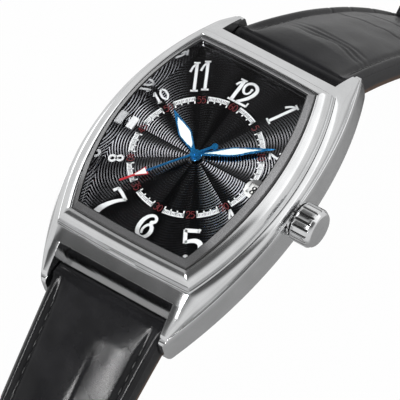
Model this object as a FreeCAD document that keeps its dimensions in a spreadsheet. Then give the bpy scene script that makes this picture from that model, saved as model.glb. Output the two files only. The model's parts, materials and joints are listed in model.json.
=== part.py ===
import FreeCAD, Part
import Sketcher
import math
import os

# Tonneau wristwatch, automatic movement, on an open leather strap.
# Frame: origin at the centre of the case back's flat face, +X to the crown,
# +Y to twelve o'clock, +Z out of the dial. Lengths in millimetres, angles in degrees.

Vec = FreeCAD.Vector
doc = FreeCAD.newDocument("tonneau_watch")
sheet = doc.addObject("Spreadsheet::Sheet", "Sizes")

SIZES = {
    # dial opening, from which the outlines of case, bezel and crystal are offset
    "opening_half_width": 12.2,
    "opening_corner_x": 9.25,
    "opening_corner_y": 15.3,
    "end_bulge": 0.25,
    # case middle
    "case_half_width": 17.0,
    "flank_radius": 55.0,
    "body_half_length": 20.55,
    "lug_reach": 25.5,
    "lug_gap": 20.0,
    "lug_end_round": 2.0,
    "lug_tip_round": 0.9,
    "wall_top": 7.2,
    "wall_top_radius": 77.7,
    "wall_bottom": 1.3,
    "wall_bottom_radius": 87.0,
    "shoulder_top": 8.5,
    "shoulder_end": 7.8,
    "shoulder_ledge": 0.35,
    "shoulder_bulge": 0.42,
    "shoulder_steps": 4,
    "lug_top_drop": 4.95,
    "lug_crest": 10.4,
    "seat_collar": 0.9,
    # bezel, crystal and rehaut
    "bezel_side_width": 2.0,
    "bezel_end_width": 1.8,
    "bezel_seat": 7.4,
    "bezel_top": 11.0,
    "bezel_top_radius": 225.0,
    "bezel_roll": 1.5,
    "bezel_step_width": 0.3,
    "bezel_step_top": 8.85,
    "crystal_inset": 1.14,
    "crystal_gasket_wall": 0.14,
    "crystal_bottom": 9.9,
    "crystal_top": 12.3,
    "crystal_top_radius": 117.0,
    "crystal_bevel": 0.8,
    "crystal_hollow_top": 10.9,
    "rehaut_width": 1.0,
    # dial
    "dial_bottom": 8.2,
    "dial_top": 8.6,
    "dial_overlap": 0.7,
    "dial_hole": 1.2,
    "date_radius": 10.45,
    "date_window_width": 1.7,
    "date_window_height": 1.4,
    "nine_marker_radius": 11.25,
    "nine_marker_length": 1.1,
    "nine_marker_width": 2.0,
    "nine_marker_height": 0.25,
    # case back
    "back_side_overlap": 3.2,
    "back_thickness": 1.2,
    "back_lip_height": 0.6,
    "back_lip_width": 1.2,
    "back_gasket_width": 0.25,
    "back_screw_radius": 0.7,
    "back_screw_thread": 0.5,
    "back_screw_head": 0.5,
    "back_screw_length": 2.2,
    "back_screw_y": 13.5,
    # crown and stem
    "crown_level": 5.8,
    "crown_radius": 3.0,
    "crown_start": 17.15,
    "crown_length": 4.0,
    "crown_flutes": 18,
    "crown_flute_radius": 0.3,
    "crown_chamfer": 0.45,
    "crown_collar_radius": 2.45,
    "crown_collar_length": 0.45,
    "tube_radius": 0.9,
    "tube_bore": 0.55,
    "stem_radius": 0.45,
    "stem_inner_end": 9.6,
    "crown_travel": 1.2,
    # movement
    "movement_radius": 12.8,
    "rim_inner_radius": 11.8,
    "rim_bottom": 4.0,
    "plate_bottom": 6.05,
    "plate_top": 7.15,
    "bridge_bottom": 3.25,
    "bridge_thickness": 0.7,
    "bridge_radius": 12.5,
    "ring_gap": 0.05,
    "arbor_radius": 0.16,
    "running_gap": 0.05,
    "train_level_fourth": 4.1,
    "train_level_third": 4.5,
    "train_level_centre": 4.9,
    "train_level_barrel": 5.3,
    "wheel_thickness": 0.24,
    "centre_teeth": 60,
    "centre_pinion_teeth": 10,
    "third_teeth": 64,
    "third_pinion_teeth": 8,
    "fourth_teeth": 70,
    "fourth_pinion_teeth": 8,
    "escape_pinion_teeth": 7,
    "escape_teeth": 15,
    "barrel_teeth": 60,
    "centre_module": 0.15,
    "fourth_module": 0.13,
    "barrel_module": 0.16,
    "third_angle": 75.0,
    "escape_angle": -60.0,
    "balance_angle": -93.0,
    "barrel_angle": 165.0,
    "escape_radius": 2.2,
    "balance_distance": 8.4,
    "balance_radius": 3.1,
    "balance_rim": 0.45,
    "hairspring_radius": 1.9,
    "hairspring_wall": 0.1,
    "hairspring_turns": 4,
    "barrel_drum_height": 1.4,
    "ratchet_radius": 3.2,
    "ratchet_teeth": 40,
    "rotor_bottom": 2.2,
    "rotor_radius": 12.2,
    "rotor_thickness": 0.35,
    "rotor_weight_height": 0.7,
    "rotor_weight_width": 2.6,
    "rotor_hub_radius": 2.3,
    "rotor_bore": 1.3,
    # motion works and calendar
    "cannon_teeth": 12,
    "minute_wheel_teeth": 36,
    "minute_pinion_teeth": 10,
    "hour_wheel_teeth": 40,
    "motion_distance": 3.0,
    "motion_angle": -40.0,
    "motion_level": 7.3,
    "hour_wheel_level": 7.66,
    "centre_tube_radius": 0.45,
    "cannon_pipe_radius": 0.62,
    "hour_pipe_radius": 0.95,
    "date_disc_level": 7.5,
    "date_disc_thickness": 0.2,
    "date_disc_radius": 11.6,
    "date_disc_bore": 9.15,
    "date_disc_teeth": 31,
    "date_tooth_depth": 0.35,
    "calendar_hub_inner": 5.7,
    "calendar_hub_radius": 8.7,
    "calendar_flange_radius": 9.6,
    "calendar_flange_level": 7.85,
    "calendar_flange_thickness": 0.2,
    # hands
    "hour_hand_level": 8.95,
    "minute_hand_level": 9.25,
    "seconds_hand_level": 9.53,
    "hand_thickness": 0.16,
    "hour_hand_length": 8.2,
    "hour_hand_width": 1.8,
    "minute_hand_length": 11.5,
    "minute_hand_width": 1.4,
    "seconds_hand_length": 11.5,
    "seconds_hand_tail": 3.0,
    "hand_boss_radius": 0.95,
    "lume_inset": 0.26,
    "hour_angle": 304.7,
    "minute_angle": 56.0,
    "seconds_angle": 217.0,
    # spring bars and strap
    "bar_inset": 2.65,
    "bar_level": 1.0,
    "bar_radius": 0.75,
    "bar_pivot_radius": 0.4,
    "bar_pivot_length": 0.9,
    "strap_side_gap": 0.2,
    "strap_lug_thickness": 4.0,
    "strap_end_thickness": 2.4,
    "strap_end_width": 16.0,
    "strap_taper_length": 72.0,
    "strap_pad_length": 46.0,
    "lining_thickness": 0.9,
    "strap_steps": 10,
    "upper_length": 75.0,
    "upper_start_angle": 40.0,
    "upper_end_angle": 72.0,
    "lower_length": 112.0,
    "lower_start_angle": 25.0,
    "tip_length": 9.0,
    "hole_count": 7,
    "hole_pitch": 6.5,
    "hole_radius": 0.9,
    "first_hole_from_tip": 22.0,
    # buckle and keepers
    "buckle_bar_radius": 0.5,
    "buckle_hub_radius": 1.3,
    "buckle_height": 2.5,
    "buckle_rail_width": 1.7,
    "buckle_side_gap": 0.3,
    "buckle_reach": 11.6,
    "tongue_width": 1.9,
    "tongue_thickness": 0.9,
    "tongue_slot": 2.6,
    "keeper_wall": 1.1,
    "keeper_width": 5.0,
    "keeper_room": 2.7,
    "keeper_side_gap": 0.45,
    "keeper_gap": 0.15,
    "fixed_keeper_place": 10.0,
    "free_keeper_place": 20.0,
}

for row, (alias, value) in enumerate(SIZES.items(), start=1):
    sheet.set("A%d" % row, alias)
    sheet.set("B%d" % row, str(value))
    sheet.setAlias("B%d" % row, alias)
doc.recompute()


def size(alias):
    """The number that the sheet holds under this alias."""
    return float(sheet.get(alias))


def count(alias):
    return int(round(size(alias)))


def bind(thing, **rules):
    """Tie properties of an object to formulas on the sheet's aliases."""
    for prop, rule in rules.items():
        thing.setExpression(prop.replace("__", "."), rule)


def cell(alias):
    return "Sizes." + alias


finished = []


def finish(thing, node):
    """Name a finished sub-part after the node that it becomes."""
    thing.Label = node
    finished.append(thing)
    return thing


# Part primitives bound to the sheet


def cylinder(radius, height, bottom, x="0", y="0"):
    """An upright cylinder; every size and place is a formula."""
    tool = doc.addObject("Part::Cylinder", "Cylinder")
    bind(tool, Radius=radius, Height=height)
    bind(tool, Placement__Base__x=x, Placement__Base__y=y, Placement__Base__z=bottom)
    return tool


def cross_cylinder(radius, length, start, y, z):
    """A cylinder along X."""
    tool = doc.addObject("Part::Cylinder", "CrossCylinder")
    tool.Placement.Rotation = FreeCAD.Rotation(Vec(0, 1, 0), 90)
    bind(tool, Radius=radius, Height=length)
    bind(tool, Placement__Base__x=start, Placement__Base__y=y, Placement__Base__z=z)
    return tool


def block(length, width, height, x, y, z):
    tool = doc.addObject("Part::Box", "Block")
    bind(tool, Length=length, Width=width, Height=height)
    bind(tool, Placement__Base__x=x, Placement__Base__y=y, Placement__Base__z=z)
    return tool


def fuse(*pieces):
    joined = doc.addObject("Part::MultiFuse", "Fuse")
    joined.Shapes = list(pieces)
    return joined


def cut(base, *tools):
    result = doc.addObject("Part::Cut", "Cut")
    result.Base = base
    result.Tool = tools[0] if len(tools) == 1 else fuse(*tools)
    return result


def ring(outer, inner, height, bottom, x="0", y="0"):
    """A tube whose bore runs past both ends."""
    wall = cylinder(outer, height, bottom, x, y)
    bore = cylinder(inner, "(%s)*3" % height, "(%s)-(%s)" % (bottom, height), x, y)
    return cut(wall, bore)


def shape_object(shape, node):
    """A sub-part whose shape is made with Part's own functions from the sheet."""
    thing = doc.addObject("Part::Feature", node)
    thing.Shape = shape
    return finish(thing, node)


# The tonneau outline: two flanks and two ends, all arcs

SIDE_RADIUS = (
    "((pow(Sizes.opening_corner_y; 2) + pow(Sizes.opening_half_width - Sizes.opening_corner_x; 2))"
    " / (2 * (Sizes.opening_half_width - Sizes.opening_corner_x)))"
)


def side_radius():
    rise = size("opening_half_width") - size("opening_corner_x")
    return (size("opening_corner_y") ** 2 + rise**2) / (2 * rise)


def outline_corner(side, end):
    """Corner of the outline that lies this far outside the dial opening."""
    corner_y = size("opening_corner_y") + end
    centre = size("opening_half_width") - side_radius()
    return centre + math.sqrt((side_radius() + side) ** 2 - corner_y**2), corner_y


def origin_plane(body, role):
    for feature in body.Origin.OriginFeatures:
        if feature.Role == role:
            return feature


def new_body(node):
    body = doc.addObject("PartDesign::Body", node)
    return finish(body, node)


def new_sketch(body, role, level="0"):
    sketch = body.newObject("Sketcher::SketchObject", "Sketch")
    sketch.AttachmentSupport = (origin_plane(body, role), [""])
    sketch.MapMode = "FlatFace"
    bind(sketch, AttachmentOffset__Base__z=level)
    return sketch


def outline_sketch(body, side, end, level):
    """A tonneau outline, its flanks and ends set outside the dial opening."""
    sketch = new_sketch(body, "XY_Plane", level)
    side_value, end_value = formula_value(side), formula_value(end)
    x, y = outline_corner(side_value, end_value)
    bulge = size("end_bulge")
    half = size("opening_half_width") + side_value
    corners = [Vec(x, y, 0), Vec(-x, y, 0), Vec(-x, -y, 0), Vec(x, -y, 0)]
    middles = [Vec(0, y + bulge, 0), Vec(-half, 0, 0), Vec(0, -y - bulge, 0), Vec(half, 0, 0)]
    for index in range(4):
        arc = Part.Arc(corners[index], middles[index], corners[(index + 1) % 4])
        sketch.addGeometry(arc, False)
    starts = [start_point(sketch, index, corners[index]) for index in range(4)]
    for index in range(4):
        after = (index + 1) % 4
        end_here = 3 - starts[index]
        link = Sketcher.Constraint("Coincident", index, end_here, after, starts[after])
        sketch.addConstraint(link)
    corner_y = "(Sizes.opening_corner_y + %s)" % end
    reach = "(Sizes.opening_half_width - %s + sqrt(pow(%s + %s; 2) - pow(%s; 2)))" % (
        SIDE_RADIUS, SIDE_RADIUS, side, corner_y)
    for index, (sign_x, sign_y) in enumerate([(1, 1), (-1, 1), (-1, -1), (1, -1)]):
        for kind, sign, rule in (("DistanceX", sign_x, reach), ("DistanceY", sign_y, corner_y)):
            value = corners[index].x if kind == "DistanceX" else corners[index].y
            place = sketch.addConstraint(
                Sketcher.Constraint(kind, -1, 1, index, starts[index], value))
            sketch.setExpression("Constraints[%d]" % place, "%d * %s" % (sign, rule))
    end_rule = "(pow(%s; 2) + pow(Sizes.end_bulge; 2)) / (2 * Sizes.end_bulge)" % reach
    for index in range(4):
        flank = index % 2 == 1
        radius = sketch.Geometry[index].Radius
        place = sketch.addConstraint(Sketcher.Constraint("Radius", index, radius))
        rule = "%s + %s" % (SIDE_RADIUS, side) if flank else end_rule
        sketch.setExpression("Constraints[%d]" % place, rule)
    return sketch


def start_point(sketch, index, corner):
    """Which end of an arc lies at the corner: 1 for its start, 2 for its end."""
    arc = sketch.Geometry[index]
    return 1 if arc.StartPoint.distanceToPoint(corner) < arc.EndPoint.distanceToPoint(corner) else 2


def formula_value(rule):
    """The number that a sum or difference of aliases stands for."""
    total = 0.0
    for term in rule.replace("-", "+-").split("+"):
        term = term.strip()
        if not term:
            continue
        sign = -1.0 if term.startswith("-") else 1.0
        name = term.lstrip("- ").replace("Sizes.", "")
        total += sign * (float(name) if name[0].isdigit() else size(name))
    return total


def pad(body, sketch, length):
    feature = body.newObject("PartDesign::Pad", "Pad")
    feature.Profile = sketch
    bind(feature, Length=length)
    doc.recompute()
    return feature


def pocket_up(body, sketch, length):
    """Cut along the sketch's normal."""
    feature = body.newObject("PartDesign::Pocket", "Pocket")
    feature.Profile = sketch
    feature.Reversed = True
    bind(feature, Length=length)
    doc.recompute()
    return feature


def arched_cut(body, crest, radius, above, reach):
    """Cut away what lies above (or below) an arc that crosses the case lengthwise."""
    sketch = new_sketch(body, "YZ_Plane")
    top = formula_value(crest)
    half = size("lug_reach")
    drop = radius_drop(size(radius), half)
    far = top + half if above else 0.0
    points = [Vec(-half, top - drop, 0), Vec(half, top - drop, 0)]
    arc = Part.Arc(points[1], Vec(0, top, 0), points[0])
    sketch.addGeometry(arc, False)
    ends = [Vec(half, far, 0), Vec(-half, far, 0)]
    sketch.addGeometry(Part.LineSegment(points[1], ends[0]), False)
    sketch.addGeometry(Part.LineSegment(ends[0], ends[1]), False)
    sketch.addGeometry(Part.LineSegment(ends[1], points[0]), False)
    left = start_point(sketch, 0, points[0])
    right = 3 - left
    joins = [(0, right, 1, 1), (1, 2, 2, 1), (2, 2, 3, 1), (3, 2, 0, left)]
    for first, first_end, second, second_end in joins:
        sketch.addConstraint(
            Sketcher.Constraint("Coincident", first, first_end, second, second_end))
    fall = "(%s - sqrt(pow(%s; 2) - pow(Sizes.lug_reach; 2)))" % (cell(radius), cell(radius))
    far_rule = "%s + Sizes.lug_reach" % crest if above else "0"
    places = [
        ("DistanceX", 0, left, -half, "-Sizes.lug_reach"),
        ("DistanceY", 0, left, top - drop, "%s - %s" % (crest, fall)),
        ("DistanceX", 0, right, half, "Sizes.lug_reach"),
        ("DistanceY", 0, right, top - drop, "%s - %s" % (crest, fall)),
        ("DistanceX", 1, 2, half, "Sizes.lug_reach"),
        ("DistanceY", 1, 2, far, far_rule),
        ("DistanceX", 2, 2, -half, "-Sizes.lug_reach"),
        ("DistanceY", 2, 2, far, far_rule),
    ]
    for kind, geometry, end, value, rule in places:
        place = sketch.addConstraint(Sketcher.Constraint(kind, -1, 1, geometry, end, value))
        if abs(value) > 0:
            sketch.setExpression("Constraints[%d]" % place, rule)
    place = sketch.addConstraint(Sketcher.Constraint("Radius", 0, size(radius)))
    sketch.setExpression("Constraints[%d]" % place, cell(radius))
    feature = body.newObject("PartDesign::Pocket", "ArchedCut")
    feature.Profile = sketch
    feature.Midplane = True
    bind(feature, Length="2 * (%s)" % reach)
    doc.recompute()
    return feature


def radius_drop(radius, reach):
    """Fall of an arc below its crest at this distance from it."""
    return radius - math.sqrt(radius**2 - reach**2)


def edge_names(shape, test):
    return ["Edge%d" % (index + 1) for index, edge in enumerate(shape.Edges) if test(edge)]


def middle_of(edge):
    return edge.valueAt((edge.FirstParameter + edge.LastParameter) / 2)


def dress(body, kind, test, **rules):
    """Fillet or chamfer the edges of a body that pass a test."""
    base = body.Tip
    names = edge_names(base.Shape, test)
    feature = body.newObject(kind, "Dressing")
    feature.Base = (base, names)
    bind(feature, **rules)
    doc.recompute()
    return feature


def outline_face(side, end, level):
    """The same outline as a face, for shapes made outside a body."""
    x, y = outline_corner(side, end)
    half = size("opening_half_width") + side
    bulge = size("end_bulge")
    corners = [Vec(x, y, level), Vec(-x, y, level), Vec(-x, -y, level), Vec(x, -y, level)]
    middles = [
        Vec(0, y + bulge, level), Vec(-half, 0, level), Vec(0, -y - bulge, level), Vec(half, 0, level)]
    edges = []
    for index in range(4):
        edges.append(Part.Arc(corners[index], middles[index], corners[(index + 1) % 4]).toShape())
    return Part.Face(Part.Wire(edges))


def outline_prism(side, end, bottom, top):
    return outline_face(side, end, bottom).extrude(Vec(0, 0, top - bottom))


def bar_y():
    """Distance of a spring bar from the middle of the case."""
    return size("lug_reach") - size("bar_inset")


# Case middle: sections lofted from lug tip to lug tip, then opened

LUG_CURVE = 0.3
SHOULDER_LIP = 0.05


def case_section(y):
    """Cross-section of the case at a distance y from its middle."""
    half_width = size("case_half_width") - radius_drop(size("flank_radius"), y)
    wall_top = size("wall_top") - radius_drop(size("wall_top_radius"), y)
    wall_bottom = size("wall_bottom") - radius_drop(size("wall_bottom_radius"), y)
    side = size("crystal_inset") + size("bezel_side_width")
    end = size("crystal_inset") + size("bezel_end_width")
    corner_x, corner_y = outline_corner(side, end)
    away = abs(y)
    if away <= corner_y:
        flank = side_radius() + side
        crest = size("opening_half_width") - side_radius() + math.sqrt(flank**2 - y**2)
        fall = (size("shoulder_top") - size("shoulder_end")) * (y / corner_y) ** 2
        crest_level = size("shoulder_top") - fall
    else:
        share = (away - corner_y) / (size("lug_reach") - corner_y)
        crest = corner_x + (size("lug_crest") - corner_x) * share
        curve = (1 - LUG_CURVE) * share + LUG_CURVE * share**2
        crest_level = size("shoulder_end") - size("lug_top_drop") * curve
    ledge = half_width - size("shoulder_ledge") * min(1.0, (half_width - crest) / 2)
    crest_level = max(crest_level, wall_top + SHOULDER_LIP)
    chord = Vec(crest - ledge, 0, crest_level - wall_top)
    outward = Vec(chord.z, 0, -chord.x).normalize()
    bulge = size("shoulder_bulge") * min(1.0, chord.Length / 2)
    right = [Vec(half_width, y, wall_bottom), Vec(half_width, y, wall_top)]
    right += [Vec(ledge, y, wall_top), Vec(crest, y, crest_level)]
    swell = Vec((ledge + crest) / 2, y, (wall_top + crest_level) / 2) + outward * bulge
    corners = right[:3] + shoulder_points(right[2], swell, right[3]) + [right[3]]
    corners += [Vec(-point.x, y, point.z) for point in reversed(corners)]
    return Part.makePolygon(corners + corners[:1])


def shoulder_points(start, middle, end):
    """Points on the shoulder's arc between its two ends."""
    arc = Part.Arc(start, middle, end)
    steps = count("shoulder_steps")
    first, span = arc.FirstParameter, arc.LastParameter - arc.FirstParameter
    return [arc.value(first + span * step / steps) for step in range(1, steps)]


def side_profile():
    """Lengthwise slab whose ends round off the lug tips below and above."""
    reach = size("lug_reach")
    radius = size("lug_end_round")
    low = size("wall_bottom") - radius_drop(size("wall_bottom_radius"), reach)
    high = size("crystal_top")
    turn = radius * (1 - math.sqrt(0.5))
    crest = size("shoulder_end") - size("lug_top_drop")
    soft = size("lug_tip_round")
    bend = soft * (1 - math.sqrt(0.5))
    upper = [Vec(0, reach - soft, crest + soft), Vec(0, reach - bend, crest)]
    upper += [Vec(0, reach, crest - soft)]
    lower = [Vec(0, reach, low + radius), Vec(0, reach - turn, low + turn), Vec(0, reach - radius, low)]
    chain = [Vec(0, 0, high + reach)] + upper + lower
    chain += [Vec(0, -point.y, point.z) for point in reversed(chain[1:])]
    slab = Part.Face(Part.makePolygon(chain + chain[:1])).extrude(Vec(4 * size("case_half_width"), 0, 0))
    slab.translate(Vec(-2 * size("case_half_width"), 0, 0))
    return slab


def upright(radius, height, x, y, z):
    return Part.makeCylinder(radius, height, Vec(x, y, z))


def along_x(radius, length, x, y, z):
    return Part.makeCylinder(radius, length, Vec(x, y, z), Vec(1, 0, 0))


def back_screw_places():
    """Four places along the middle of the ledge that the case back is screwed to."""
    offset = (size("crystal_inset") + size("back_side_overlap")) / 2
    y = size("back_screw_y")
    centre = size("opening_half_width") - side_radius()
    x = centre + math.sqrt((side_radius() + offset) ** 2 - y**2)
    return [(x, y), (-x, y), (-x, -y), (x, -y)]


def end_block(sign):
    """Space between a pair of lugs, with the end wall's top edge rounded."""
    gap = size("lug_gap")
    depth = 2 * size("lug_reach")
    start = size("body_half_length")
    corner = Vec(-gap / 2, start, -depth)
    space = Part.makeBox(gap, depth, 2 * depth, corner)
    if sign < 0:
        space = space.mirror(Vec(0, 0, 0), Vec(0, 1, 0))
    return space


BODY_STATIONS = (0.25, 0.5, 0.75, 1.0)
LUG_STATIONS = (0.35, 0.7, 1.0)


def case_middle_shape():
    reach = size("lug_reach")
    corner_y = outline_corner(0, size("crystal_inset") + size("bezel_end_width"))[1]
    lug_run = reach - corner_y
    stations = [corner_y * share for share in BODY_STATIONS]
    stations += [corner_y + lug_run * share for share in LUG_STATIONS]
    places = sorted([0.0] + stations + [-place for place in stations])
    body = Part.makeLoft([case_section(place) for place in places], True, True)
    body = body.common(side_profile())
    collar_side = size("back_side_overlap") + size("seat_collar")
    collar = outline_prism(collar_side, collar_side, size("back_thickness"), size("bezel_seat"))
    body = body.fuse(collar)
    clear = size("ring_gap")
    seat_side = size("crystal_inset") + size("bezel_side_width") + size("bezel_step_width") + clear
    seat_end = size("crystal_inset") + size("bezel_end_width") + size("bezel_step_width") + clear
    cavity = size("crystal_inset") + clear
    overlap = size("back_side_overlap") + clear
    high = size("crystal_top")
    tools = [
        outline_prism(seat_side, seat_end, size("bezel_seat"), high),
        outline_prism(cavity, cavity, 0, high),
        outline_prism(overlap, overlap, -size("lug_reach"), size("back_thickness")),
        end_block(1),
        end_block(-1),
        along_x(size("tube_radius"), size("case_half_width"), size("opening_half_width"), 0,
                size("crown_level")),
    ]
    pivot = size("bar_pivot_radius") + clear
    half_bar = size("lug_gap") / 2 + size("bar_pivot_length") + clear
    for sign in (1, -1):
        hole = along_x(pivot, 2 * half_bar, -half_bar, sign * bar_y(), size("bar_level"))
        tools.append(hole)
    thread = size("back_screw_thread")
    for x, y in back_screw_places():
        tools.append(upright(thread, size("back_screw_length") + clear, x, y, 0))
    body = body.cut(Part.makeCompound(tools).Solids)
    return body.removeSplitter()


shape_object(case_middle_shape(), "case_middle")

# Bezel: a low step and a convex roll, arched along the case

ridge_side = "Sizes.crystal_inset"
bezel_side = "Sizes.crystal_inset + Sizes.bezel_side_width"
bezel_end = "Sizes.crystal_inset + Sizes.bezel_end_width"

bezel = new_body("bezel")
step_sketch = outline_sketch(
    bezel, bezel_side + " + Sizes.bezel_step_width", bezel_end + " + Sizes.bezel_step_width",
    "Sizes.bezel_seat")
pad(bezel, step_sketch, "Sizes.crystal_top - Sizes.bezel_seat")
arched_cut(bezel, "Sizes.bezel_step_top", "bezel_top_radius", True, "Sizes.case_half_width")
roll_sketch = outline_sketch(bezel, bezel_side, bezel_end, "Sizes.bezel_seat")
pad(bezel, roll_sketch, "Sizes.crystal_top - Sizes.bezel_seat")
arched_cut(bezel, "Sizes.bezel_top", "bezel_top_radius", True, "Sizes.case_half_width")
opening_sketch = outline_sketch(bezel, ridge_side, ridge_side, "0")
pocket_up(bezel, opening_sketch, "2 * Sizes.crystal_top")


def on_bezel_roll(edge):
    """Outer top edge of the roll: above the step and away from the crystal."""
    point = middle_of(edge)
    side = size("opening_half_width") + size("crystal_inset")
    end = size("opening_corner_y") + size("crystal_inset") + size("end_bulge")
    high = point.z > size("bezel_step_top") + size("bezel_roll") / 2
    flat = edge.BoundBox.ZLength < size("bezel_roll")
    outside = abs(point.x) > side + size("bezel_side_width") / 2
    beyond = abs(point.y) > end + size("bezel_end_width") / 2
    return high and flat and (outside or beyond)


dress(bezel, "PartDesign::Chamfer", on_bezel_roll, Size="Sizes.bezel_roll")

# Crystal, its gasket and the rehaut below it

crystal = new_body("crystal")
glass_side = "Sizes.crystal_inset - Sizes.crystal_gasket_wall"
glass_sketch = outline_sketch(crystal, glass_side, glass_side, "Sizes.crystal_bottom")
pad(crystal, glass_sketch, "Sizes.crystal_top - Sizes.crystal_bottom + Sizes.crystal_bevel")
arched_cut(crystal, "Sizes.crystal_top", "crystal_top_radius", True, "Sizes.case_half_width")


def on_crystal_top(edge):
    point = middle_of(edge)
    fall = radius_drop(size("crystal_top_radius"), abs(point.y))
    return abs(point.z - size("crystal_top") + fall) < size("crystal_gasket_wall") / 2


dress(crystal, "PartDesign::Chamfer", on_crystal_top, Size="Sizes.crystal_bevel")
hollow_reach = "Sizes.opening_corner_x"
arched_cut(crystal, "Sizes.crystal_hollow_top", "crystal_top_radius", False, hollow_reach)

gasket = new_body("crystal_gasket")
gasket_sketch = outline_sketch(gasket, ridge_side, ridge_side, "Sizes.crystal_bottom")
pad(gasket, gasket_sketch, "Sizes.bezel_top - Sizes.crystal_bottom")
arched_cut(gasket, "Sizes.bezel_top", "bezel_top_radius", True, "Sizes.case_half_width")
inside_sketch = outline_sketch(gasket, glass_side, glass_side, "0")
pocket_up(gasket, inside_sketch, "2 * Sizes.crystal_top")

rehaut = new_body("rehaut_ring")
rehaut_sketch = outline_sketch(rehaut, "Sizes.rehaut_width", "Sizes.rehaut_width", "Sizes.dial_top")
pad(rehaut, rehaut_sketch, "Sizes.crystal_bottom - Sizes.dial_top")
visible_sketch = outline_sketch(rehaut, "0", "0", "0")
pocket_up(rehaut, visible_sketch, "2 * Sizes.crystal_top")

# Dial with its date window, and the applied marker at nine

dial = new_body("dial")
dial_sketch = outline_sketch(dial, "Sizes.dial_overlap", "Sizes.dial_overlap", "Sizes.dial_bottom")
pad(dial, dial_sketch, "Sizes.dial_top - Sizes.dial_bottom")


def pocket_shape(body, geometries, constraints, level, depth):
    """Cut a small sketched opening upwards from a level."""
    sketch = new_sketch(body, "XY_Plane", level)
    for geometry in geometries:
        sketch.addGeometry(geometry, False)
    for constraint, rule in constraints:
        place = sketch.addConstraint(constraint)
        if rule:
            sketch.setExpression("Constraints[%d]" % place, rule)
    return pocket_up(body, sketch, depth)


def window_lines(centre, width, height):
    """A closed rectangle on the X axis."""
    left, right = centre - width / 2, centre + width / 2
    corners = [
        Vec(left, -height / 2, 0), Vec(right, -height / 2, 0),
        Vec(right, height / 2, 0), Vec(left, height / 2, 0)]
    return [Part.LineSegment(corners[index], corners[(index + 1) % 4]) for index in range(4)]


def window_constraints(centre, width, height):
    rules = []
    for index in range(4):
        rules.append((Sketcher.Constraint("Coincident", index, 2, (index + 1) % 4, 1), None))
    left, right = size(centre) - size(width) / 2, size(centre) + size(width) / 2
    left_rule = "%s - %s / 2" % (cell(centre), cell(width))
    right_rule = "%s + %s / 2" % (cell(centre), cell(width))
    low_rule, high_rule = "-%s / 2" % cell(height), "%s / 2" % cell(height)
    half = size(height) / 2
    table = [
        (0, left, -half, left_rule, low_rule), (1, right, -half, right_rule, low_rule),
        (2, right, half, right_rule, high_rule), (3, left, half, left_rule, high_rule)]
    for index, x, y, x_rule, y_rule in table:
        rules.append((Sketcher.Constraint("DistanceX", -1, 1, index, 1, x), x_rule))
        rules.append((Sketcher.Constraint("DistanceY", -1, 1, index, 1, y), y_rule))
    return rules


def hole_constraints(radius):
    return [
        (Sketcher.Constraint("Coincident", 0, 3, -1, 1), None),
        (Sketcher.Constraint("Radius", 0, size(radius)), cell(radius)),
    ]


hole = [Part.Circle(Vec(0, 0, 0), Vec(0, 0, 1), size("dial_hole"))]
pocket_shape(dial, hole, hole_constraints("dial_hole"), "0", "2 * Sizes.dial_top")
date_sizes = ("date_radius", "date_window_width", "date_window_height")
window = window_lines(*[size(name) for name in date_sizes])
pocket_shape(dial, window, window_constraints(*date_sizes), "0", "2 * Sizes.dial_top")

marker = block(
    "Sizes.nine_marker_length", "Sizes.nine_marker_width", "Sizes.nine_marker_height",
    "-Sizes.nine_marker_radius - Sizes.nine_marker_length / 2", "-Sizes.nine_marker_width / 2",
    "Sizes.dial_top")
finish(marker, "nine_marker")

# Case back, its gasket and screws


def case_back_shape():
    overlap = size("back_side_overlap")
    lip = size("crystal_inset")
    thickness = size("back_thickness")
    lip_top = thickness + size("back_lip_height")
    plate = outline_prism(overlap, overlap, 0, thickness)
    wall = outline_prism(lip - size("back_gasket_width"), lip - size("back_gasket_width"),
                         thickness, lip_top)
    inner = lip - size("back_gasket_width") - size("back_lip_width")
    plate = plate.fuse(wall.cut(outline_prism(inner, inner, thickness, lip_top)))
    for x, y in back_screw_places():
        plate = plate.cut(upright(size("back_screw_thread") + size("ring_gap"), thickness, x, y, 0))
        head = upright(size("back_screw_radius") + size("ring_gap"), size("back_screw_head"), x, y, 0)
        plate = plate.cut(head)
    return plate.removeSplitter()


def back_gasket_shape():
    outer = size("crystal_inset") - size("ring_gap")
    inner = size("crystal_inset") - size("back_gasket_width") + size("ring_gap")
    bottom = size("back_thickness")
    top = bottom + size("back_lip_height")
    return outline_prism(outer, outer, bottom, top).cut(outline_prism(inner, inner, bottom, top))


def slotted_screw(head_radius, head_height, thread_radius, length, slot_width, slot_depth):
    """A screw whose head stands at the bottom, its slot downwards."""
    screw = Part.makeCylinder(head_radius, head_height)
    screw = screw.fuse(Part.makeCylinder(thread_radius, length))
    corner = Vec(-head_radius, -slot_width / 2, 0)
    return screw.cut(Part.makeBox(2 * head_radius, slot_width, slot_depth, corner)).removeSplitter()


def back_screws_shape():
    head = size("back_screw_head")
    screws = []
    for x, y in back_screw_places():
        screw = slotted_screw(
            size("back_screw_radius"), head, size("back_screw_thread") - size("ring_gap") / 2,
            size("back_screw_length"), head / 2, head / 2)
        screw.translate(Vec(x, y, 0))
        screws.append(screw)
    return Part.makeCompound(screws)


shape_object(case_back_shape(), "case_back")
shape_object(back_gasket_shape(), "case_back_gasket")
shape_object(back_screws_shape(), "case_back_screws")

# Crown, fluted all round, with its tube, stem and gasket


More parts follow.
